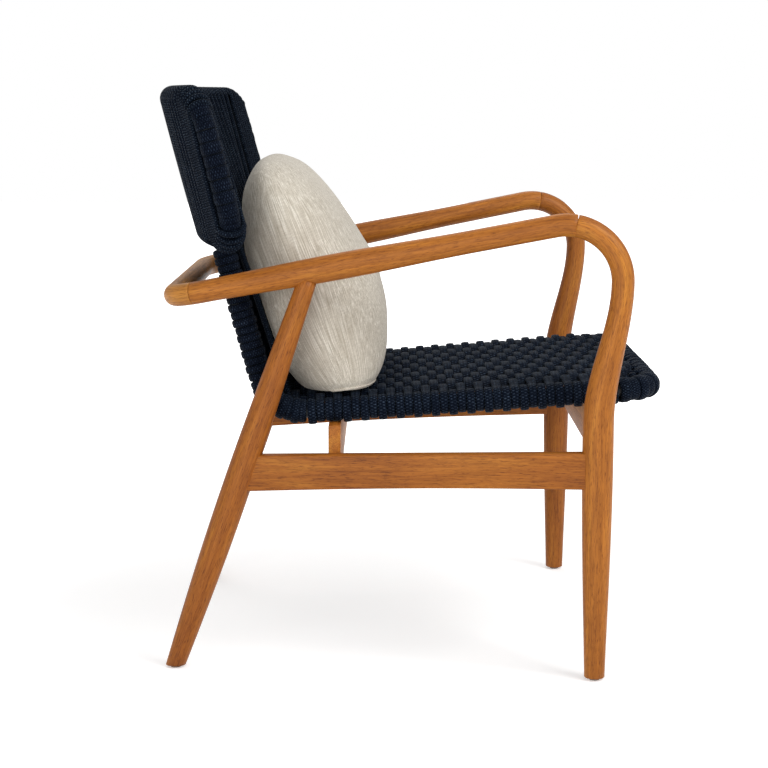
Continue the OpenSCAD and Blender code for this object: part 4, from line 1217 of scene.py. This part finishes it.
def nose_turns():
    w = (ALONG_PITCH - ALONG_D - 2 * NOSE_GAP) / FILL
    lines = []
    for x in ALONG_X[:-1]:
        spots = [x + ALONG_D / 2 + NOSE_GAP + (i + 0.5) * w for i in range(FILL)]
        spots = [spot for spot in spots if abs(spot) < FRONT_TUBE_END - w / 2]
        if spots:
            ends = (spots[0], spots[-1] + (SHORTEST if len(spots) == 1 else 0))
            lines.append(np.array([[end, NOSE_Y, NOSE_Z] for end in ends]))
    mesh = wound_mesh(lines, w * NOSE_WIDTH, ROPE_T, w, NOSE_SEED, NOSE_BULGE)
    # Two narrower turns fill each end, up to the bend
    first = ALONG_X[-1] + ALONG_D / 2 + NOSE_GAP
    end_w = (FRONT_TUBE_END - first) / 2
    ends = [np.array([[side * (first + (i + 0.5) * end_w), NOSE_Y, NOSE_Z] for i in range(2)])
            for side in SIDES]
    end_mesh = wound_mesh(ends, end_w * NOSE_WIDTH, ROPE_T, end_w, NOSE_SEED + 1)
    place(join_meshes("rope_nose_turns", [mesh, end_mesh], ROPE), "rope", "nose_turns")


nose_turns()

# %% [markdown]
# ## Cords of the back
# Round cords hang from the top tube in two layers. The front layer runs down to the rear tube of
# the seat, and the rear layer down to the lower tube of the back hoop. Each cord comes over the top
# tube and turns under the lower one, so each is one long sweep. More cords come back up from the
# seat's rear tube to the lower tube, and a few loops fill the bend at the top of each wing.

# %% Lines of the cords
CORD_R = TUBE_R / math.cos(TOP_ARC) + CLEAR + CORD_D / 2
CORD_PITCH, LOW_PITCH, INNER_COUNT, OUTER_X = 0.0175, 0.016, 26, 0.2515
BY_POST_X, RETURN_PITCH, RETURN_HALF = 0.2350, 0.0166, 12
REAR_HALF = 15              # rear cords to each side of the middle one
TOP_WRAP, LOW_WRAP, SEAT_WRAP, POST_WRAP = 170, 110, 150, 8     # degrees round the tubes
RETURN_FROM, RETURN_TO = -60, -100
LOOSE_SIDEWAYS, LOOSE_FORWARD = 0.00035, 0.0004
ROUND_STEPS, SPAN_STEPS = 12, 9
rng = np.random.default_rng(7)


def top_at(x):
    return np.array([x, curve_y(TOP_Y, abs(x)), TOP_Z])


def shoulder_at(x):
    return np.array([x, curve_y(SHOULDER_Y, abs(x)), SHOULDER_Z])


def seat_rear_at(x):
    return np.array([x, REAR_MID[1], REAR_MID[2]])


def front_of(top, low):
    """The way out of the front of a cord from top to low."""
    return unit([0, low[2] - top[2], top[1] - low[1]])


def round_tube(p, n, start, end):
    """Points round a tube at p, at angles measured from the way n."""
    s = np.radians(np.linspace(start, end, ROUND_STEPS))[:, None]
    m = np.array([0, -n[2], n[1]])
    return p + CORD_R * (np.cos(s) * n + np.sin(s) * m)


def span(a, b):
    """Points between the end of one row of points and the start of the next."""
    return np.linspace(a[-1], b[0], SPAN_STEPS)[1:-1]


def cord_sweep(rows, across=OUT):
    return sweep(np.concatenate(rows), across, CORD_D / 2, CORD_D / 2, ROPE_SIDES)


print("a cord's middle line passes", round(CORD_R, 5), "m from the middle of a tube")


# %% The layers of cords
def cord_skin(top, low, n, top_angle, low_angle):
    over = round_tube(top, n, top_angle, 0)
    under = round_tube(low, n, 0, low_angle)
    between = span(over, under)
    loose = np.sin(np.linspace(0, np.pi, SPAN_STEPS))[1:-1]
    between[:, 0] += rng.normal(0, LOOSE_SIDEWAYS) * loose
    between += (rng.normal(0, LOOSE_FORWARD) * loose)[:, None] * n
    return cord_sweep([over, between, under])


def front_cords():
    skins = []
    for i in range(INNER_COUNT):
        offset = i - (INNER_COUNT - 1) / 2
        top, low = top_at(offset * CORD_PITCH), seat_rear_at(offset * LOW_PITCH)
        skins.append(cord_skin(top, low, front_of(top, low), -TOP_WRAP, SEAT_WRAP))
    for side in SIDES:
        n = front_of(top_at(side * OUTER_X), shoulder_at(side * OUTER_X))
        for x, wrap in ((side * OUTER_X, LOW_WRAP), (side * BY_POST_X, POST_WRAP)):
            skins.append(cord_skin(top_at(x), shoulder_at(x), n, -TOP_WRAP, wrap))
    return skins


def return_cord(i):
    """A cord that comes back up from the seat to the front of the lower tube."""
    low, high = seat_rear_at(i * LOW_PITCH), shoulder_at(i * RETURN_PITCH)
    n = front_of(high, low)
    behind, before = round_tube(low, -n, RETURN_FROM, 0), round_tube(high, n, 0, RETURN_TO)
    return cord_sweep([behind, span(behind, before), before])


def rear_cords():
    skins = []
    n = unit([0, TOP_Z - SHOULDER_Z, -(TOP_Y - SHOULDER_Y)])
    for i in range(-REAR_HALF, REAR_HALF + 1):
        x = i * CORD_PITCH
        clear_of_post = abs(abs(x) - HALF_REAR) > TUBE_R + CORD_D
        wrap = LOW_WRAP if clear_of_post else POST_WRAP
        skins.append(cord_skin(top_at(x), shoulder_at(x), n, TOP_WRAP, -wrap))
    return skins


# %% Loops at the bends of the wings
LOOP_COUNT, LOOP_STEPS, HALF_LOOP_STEPS = 6, 30, 19
# In shares of a bend: the first loop lies before it, the last short of the corded part
BEFORE_BEND, LOOP_SHORT = -0.08, 0.04
STRAIGHT_REACH = 0.06       # metres of straight tube that count as a whole bend
LOOP_SUNK = 0.001           # into the turns of rope at the foot of the wing


def pointing(way, up):
    """A way, turned round if its height doesn't go up (1) or down (-1)."""
    return way if way[2] * up > 0 else -way


def corner_cords(side):
    """Loops of cord from the bend at the top of a wing to the bend at its foot."""
    down, out = wing_way(side), arc_way(side, TOP_ARC)
    back = unit(np.cross(out, down)) * side
    back = back if back[1] > 0 else -back
    across = unit(np.cross(back, down))
    low_out = arc_way(side, LOW_ARC)
    bent = bend(top_corner(side), out, down, WING_R, LOOP_STEPS + 1)
    low_bent = bend(low_corner(side), down, -low_out, WING_R, LOOP_STEPS + 1)[::-1]
    end = top_corner(side) - tangent(out, down, WING_R) * out
    low_r = CORD_R + WING_ROPE_T - LOOP_SUNK
    s = np.radians(np.linspace(0, 180, HALF_LOOP_STEPS))[:, None]
    skins = []
    for share in np.linspace(BEFORE_BEND, CORDED_SHARE - LOOP_SHORT, LOOP_COUNT):
        at = max(share, 0) * LOOP_STEPS
        k = min(int(at), LOOP_STEPS - 1)
        top = bent[k] + (at - k) * (bent[k + 1] - bent[k])
        low = low_bent[k] + (at - k) * (low_bent[k + 1] - low_bent[k])
        if share < 0:
            top = end + share * STRAIGHT_REACH * out
            low = low_bent[0] + share * STRAIGHT_REACH * low_out
        over_out = pointing(np.cross(unit(bent[k + 1] - bent[k]), back) * side, 1)
        under_out = pointing(np.cross(unit(low_bent[k + 1] - low_bent[k]), back) * side, -1)
        over = top + CORD_R * (np.cos(s) * back + np.sin(s) * over_out)
        under = low + low_r * (np.cos(s[::-1]) * back + np.sin(s[::-1]) * under_out)
        rear = np.linspace(under[-1], over[0], SPAN_STEPS)[:-1]
        skins.append(cord_sweep([rear, over, span(over, under), under], across))
    return skins


print("loops at each wing:", LOOP_COUNT)

# %% All the cords
returns = [return_cord(i) for i in range(-RETURN_HALF, RETURN_HALF + 1)]
place(join_skins("cord_front", front_cords() + returns, CORD), "cord",
      "back_cords_front", "top_cord_turns", "lower_cord_turns", "rear_cord_turns")
place(join_skins("cord_rear", rear_cords(), CORD), "cord",
      "back_cords_rear", "top_cord_turns", "lower_cord_turns")
place(join_skins("cord_corners", corner_cords(LEFT) + corner_cords(RIGHT), CORD), "cord",
      "back_cords_rear", "wing_turns_left", "wing_turns_right")


# %% [markdown]
# ## Pillow
# The pillow is a stuffed linen cover, full in the middle. It narrows downwards to a flat bottom
# panel with a fine corded edge, and stands on that. Real fabric swells between its seams, so a
# short cloth simulation with pressure is run on the plain form. The result is pressed flat where
# it stands and held in front of the cords it leans on. The corded edge is added afterwards,
# because the simulation starts from an even mesh.

# %% Linen
PILLOW_LEAN = math.radians(21.05)
PILLOW_CENTRE = np.array([0, FOOT_Y + 0.402, 0.548])
PILLOW_UP = np.array([0, math.sin(PILLOW_LEAN), math.cos(PILLOW_LEAN)])
PILLOW_FRONT = np.array([0, -math.cos(PILLOW_LEAN), math.sin(PILLOW_LEAN)])
ALONG_THREADS, ACROSS_THREADS = (1, 0.022, 1), (0.12, 1, 0.12)
THREAD_COLOURS = ((0.31, (0.40, 0.355, 0.285)), (0.50, (0.545, 0.50, 0.42)),
                  (0.67, (0.77, 0.735, 0.66)))
CROSS_SHADE = ((0.35, (0.91, 0.90, 0.89)), (0.65, (1.05, 1.05, 1.05)))
SOIL = ((0.30, (0.96, 0.95, 0.94)), (0.70, (1.03, 1.03, 1.03)))


def linen():
    material, tree = new_material("linen")
    own = add_node(tree, "ShaderNodeAttribute", attribute_name="weave").outputs["Vector"]
    streak = noise(tree, stretched(tree, own, ALONG_THREADS), 760, 3, 0.6)
    cross = noise(tree, stretched(tree, own, ACROSS_THREADS), 900, 2, 0.5)
    colour = shaded(tree, ramp(tree, streak, THREAD_COLOURS), cross, CROSS_SHADE)
    colour = shaded(tree, colour, noise(tree, own, 14, 3, 0.5), SOIL)
    height = calculated(tree, "ADD", streak, cross)
    finish_shader(tree, colour, 0.92, bump(tree, height, 0.6, 0.0006), 0.2,
                  Sheen_Weight=0.15, Sheen_Roughness=0.5)
    return material


LINEN = linen()
print("linen has", len(LINEN.node_tree.nodes), "nodes")

# %% Form of the pillow before it swells
PILLOW_HALF_W, PILLOW_T, SLUMP = 0.245, 0.174, 0.444
TOP_REACH, LOW_REACH = 0.1785, 0.1958      # from the middle to the top and lower seams
RIM_TOP, RIM_LOW = 0.45, 0.17              # the lower edge is squarer than the top
CROWN_TOP, CROWN_LOW = 0.575, 1.57         # and it tapers to a narrow bottom panel
STANDING_SHEAR = 0.235                     # the panel is level with the seat

LOW_FROM = 0.25                            # the lower shape begins this far above the middle


def pillow_points(around=96, rings=60):
    """Rings from the rear face to the front face of the pillow, in its own axes."""
    g = 2 * np.pi * (np.arange(around) + 0.5) / around
    h = np.linspace(-np.pi / 2, np.pi / 2, rings + 1)[1:-1, None]
    low = ease(LOW_FROM - np.sin(g))
    rim = RIM_TOP + (RIM_LOW - RIM_TOP) * low
    crown = np.cos(h) ** (CROWN_TOP + (CROWN_LOW - CROWN_TOP) * low)
    reach = np.where(np.sin(g) > 0, TOP_REACH, LOW_REACH)
    across = PILLOW_HALF_W * soft(np.cos(g), rim) * crown
    up = reach * soft(np.sin(g), rim) * crown
    out = PILLOW_T / 2 * np.sin(h) * (1 - SLUMP * up / TOP_REACH)
    return np.stack([across, up, out], 2)


def from_pillow(local):
    """Places in the row frame from places in the pillow's own axes."""
    return (PILLOW_CENTRE + local[..., :1] * OUT + local[..., 1:2] * PILLOW_UP
            + local[..., 2:] * PILLOW_FRONT)


def pillow_axes(places):
    """Places in the pillow's own axes: across, up and out of its front."""
    local = places - PILLOW_CENTRE
    return np.stack([local[:, 0], local @ PILLOW_UP, local @ PILLOW_FRONT], 1)


def pillow_mesh(size):
    points = pillow_points()
    rings, around = points.shape[:2]
    flat = from_pillow(points.reshape(-1, 3) * size)
    last = (rings - 1) * around
    caps = [list(range(around))[::-1], list(range(last, last + around))]
    mesh = bpy.data.meshes.new("linen_pillow")
    mesh.from_pydata(flat.tolist(), [], ring_quads(rings, around).tolist() + caps)
    return mesh


print("plain form, across, up and out:", 2 * pillow_points().max((0, 1)).round(3))

# %% Cloth under pressure
VOXEL, PRESSURE, SWELL_CAP, START_SIZE = 0.005, 4, 0.0032, 0.988
CLOTH_FRAMES = 20


def stuffed():
    """The pillow after its cloth has swelled under pressure."""
    size = START_SIZE
    piece = new_object("linen_pillow", pillow_mesh(size))
    remesh = piece.modifiers.new("even", "REMESH")
    remesh.mode = "VOXEL"
    remesh.voxel_size = VOXEL
    apply_modifiers(piece)
    before = vertex_places(piece.data)
    cloth = piece.modifiers.new("cloth", "CLOTH")
    cloth.settings.use_pressure = True
    cloth.settings.uniform_pressure_force = PRESSURE
    cloth.settings.effector_weights.gravity = 0
    cloth.settings.quality = 5
    cloth.settings.tension_stiffness = 12
    cloth.settings.bending_stiffness = 0.3
    cloth.point_cache.frame_start, cloth.point_cache.frame_end = 1, CLOTH_FRAMES
    for number in range(1, CLOTH_FRAMES + 1):
        bpy.context.scene.frame_set(number)
    graph = bpy.context.evaluated_depsgraph_get()
    after = vertex_places(piece.evaluated_get(graph).data)
    moved = after - before
    far = np.linalg.norm(moved, axis=1, keepdims=True)
    moved *= np.minimum(1, SWELL_CAP / np.maximum(far, 1e-9))
    piece.modifiers.clear()
    bpy.context.scene.frame_set(1)
    piece.data.vertices.foreach_set("co", (before + moved).ravel())
    print("pillow cloth moved by at most", round(float(far.max()), 4), "m")
    return piece


# %% Where the pillow stands
SEAM_UP, SEAM_OUT = -0.1684, 0.0023
SEAM_GROOVE, PIPING_R, PIPING_SIDES = 0.0022, 0.0015, 10
GROOVE_AT, GROOVE_WIDTH = 0.002, 0.0045     # above the seam
STAND_GAP, LEAN_GAP = 0.0008, 0.0016        # from the seat, and from the front cords
SEAM_STEPS, RAY_FROM = 241, 0.5
SEAM_FORWARD = unit(PILLOW_FRONT - STANDING_SHEAR * PILLOW_UP)
SEAM_MIDDLE = from_pillow(np.array([0, SEAM_UP, SEAM_OUT]))
SEAM_NORMAL = pointing(np.cross(OUT, SEAM_FORWARD), 1)


def seat_top(y):
    """Height at which the pillow stands, just above the top of the weave."""
    return seat_z(y) + (ROPE_R + WAVE + ROPE_T / 2) / math.cos(SEAT_SLOPE) + STAND_GAP


def settle(piece):
    """Flattens the pillow where it stands, and draws it in above the seam."""
    places = vertex_places(piece.data)
    above = (places - SEAM_MIDDLE) @ SEAM_NORMAL
    to_middle = SEAM_MIDDLE - places
    to_middle -= (to_middle @ SEAM_NORMAL)[:, None] * SEAM_NORMAL
    groove = SEAM_GROOVE * np.exp(-((above - GROOVE_AT) / GROOVE_WIDTH) ** 2)
    places += unit(to_middle) * groove[:, None]
    places[:, 2] = np.maximum(places[:, 2], seat_top(places[:, 1]))
    # Its back leans against the front cords
    top_y = BACK_R - np.sqrt(BACK_R ** 2 - places[:, 0] ** 2)
    rise = np.full(len(places), TOP_Z - REAR_MID[2])
    n = unit(np.stack([0 * top_y, -rise, TOP_Y - top_y - REAR_MID[1]], 1))
    before = np.sum((places - seat_rear_at(0)) * n, 1)
    places += np.maximum(CORD_R + CORD_D / 2 + LEAN_GAP - before, 0)[:, None] * n
    piece.data.vertices.foreach_set("co", places.ravel())
    piece.data.update()


print("the pillow stands", round(float(seat_top(SEAM_MIDDLE[1])), 3), "m above the floor")

# %% The pillow and its corded edge
NEEDLE = 0.12               # threads end here rather than run to a point
TIP = 0.995                 # the last share of the height, where they would meet


def weave_attribute(piece):
    """Threads run up the pillow and draw together at its top and bottom."""
    local = pillow_axes(vertex_places(piece.data))
    above = local[:, 1] > 0
    share = np.minimum(np.abs(local[:, 1]) / np.where(above, TOP_REACH, LOW_REACH), TIP)
    thick = np.sqrt(1 - share ** np.where(above, 2 / CROWN_TOP, 2 / CROWN_LOW))
    wide = (1 - share ** (2 / RIM_TOP)) ** (RIM_TOP / 2)
    local[:, 0] /= np.where(above, wide, 1)
    local[:, 2] /= np.maximum(thick, NEEDLE)
    store(piece.data, "weave", local)


def pillow():
    piece = stuffed()
    smooth = piece.modifiers.new("smooth", "SMOOTH")
    smooth.iterations = 5
    apply_modifiers(piece)
    fine = piece.modifiers.new("fine", "SUBSURF")
    fine.levels = fine.render_levels = 1
    apply_modifiers(piece)
    settle(piece)
    weave_attribute(piece)
    piece.data.materials.clear()
    piece.data.materials.append(LINEN)
    smooth_shaded(piece.data)
    place(piece, "linen", "pillow")
    return piece


PILLOW = pillow()


def pillow_seam():
    """A fine corded edge round the bottom panel of the pillow."""
    tree = BVHTree.FromObject(PILLOW, bpy.context.evaluated_depsgraph_get())
    points = []
    for angle in np.linspace(0, 2 * np.pi, SEAM_STEPS):
        way = math.cos(angle) * OUT + math.sin(angle) * SEAM_FORWARD
        start = SEAM_MIDDLE + way * RAY_FROM
        points.append(np.array(tree.ray_cast(start.tolist(), (-way).tolist())[0]))
    points = np.array(points)
    points[-1] = points[0]
    ways = directions(points)
    ways[0] = ways[-1] = unit(points[1] - points[-2])
    skin = sweep(points, SEAM_NORMAL, PIPING_R, PIPING_R, PIPING_SIDES, ways=ways)
    seam = join_skins("linen_seam", [skin], LINEN)
    weave_attribute(seam)
    place(seam, "linen", "pillow")


pillow_seam()


# %% [markdown]
# ## Metal, glides and dowels
# The tubes, bolts, glides and dowels of the solid model already have their true shape, and little
# of them shows, so they stay and only get their finishes.

# %% Finishes of the small pieces
def plain_finish(name, dark, light, scale, roughness, metallic=0.0):
    material, tree = new_material(name)
    spot = add_node(tree, "ShaderNodeTexCoord").outputs["Object"]
    grain = noise(tree, spot, scale, 3, 0.6)
    colour = ramp(tree, grain, ((0.35, dark), (0.65, light)))
    finish_shader(tree, colour, roughness, bump(tree, grain, 0.4, 0.0001), 0.5, Metallic=metallic)
    return material


COATED = plain_finish("coated_tube", (0.008, 0.009, 0.011), (0.014, 0.015, 0.018), 900, 0.5)
GLIDE = plain_finish("glide", (0.24, 0.22, 0.19), (0.34, 0.31, 0.27), 700, 0.7)
STEEL = plain_finish("bolt_steel", (0.42, 0.42, 0.43), (0.52, 0.52, 0.53), 500, 0.32, 1.0)
DOWEL = plain_finish("dowel_wood", (0.46, 0.20, 0.05), (0.60, 0.30, 0.09), 300, 0.55)
FINISHES = {
    COATED: ("seat_front_tube", "side_tube_left", "side_tube_right", "seat_rear_tube",
             "support_tube_front", "support_tube_rear", "upper_back_tube"),
    GLIDE: ("glides",), STEEL: ("frame_bolts",), DOWEL: ("rail_dowels", "bow_dowels")}
for material, nodes in FINISHES.items():
    for node in nodes:
        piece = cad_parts[node]
        if not piece.material_slots:
            piece.data.materials.append(material)
        for one in piece.material_slots:
            one.material = material

print("finished tubes, glides, bolts and dowels:", sum(len(nodes) for nodes in FINISHES.values()))
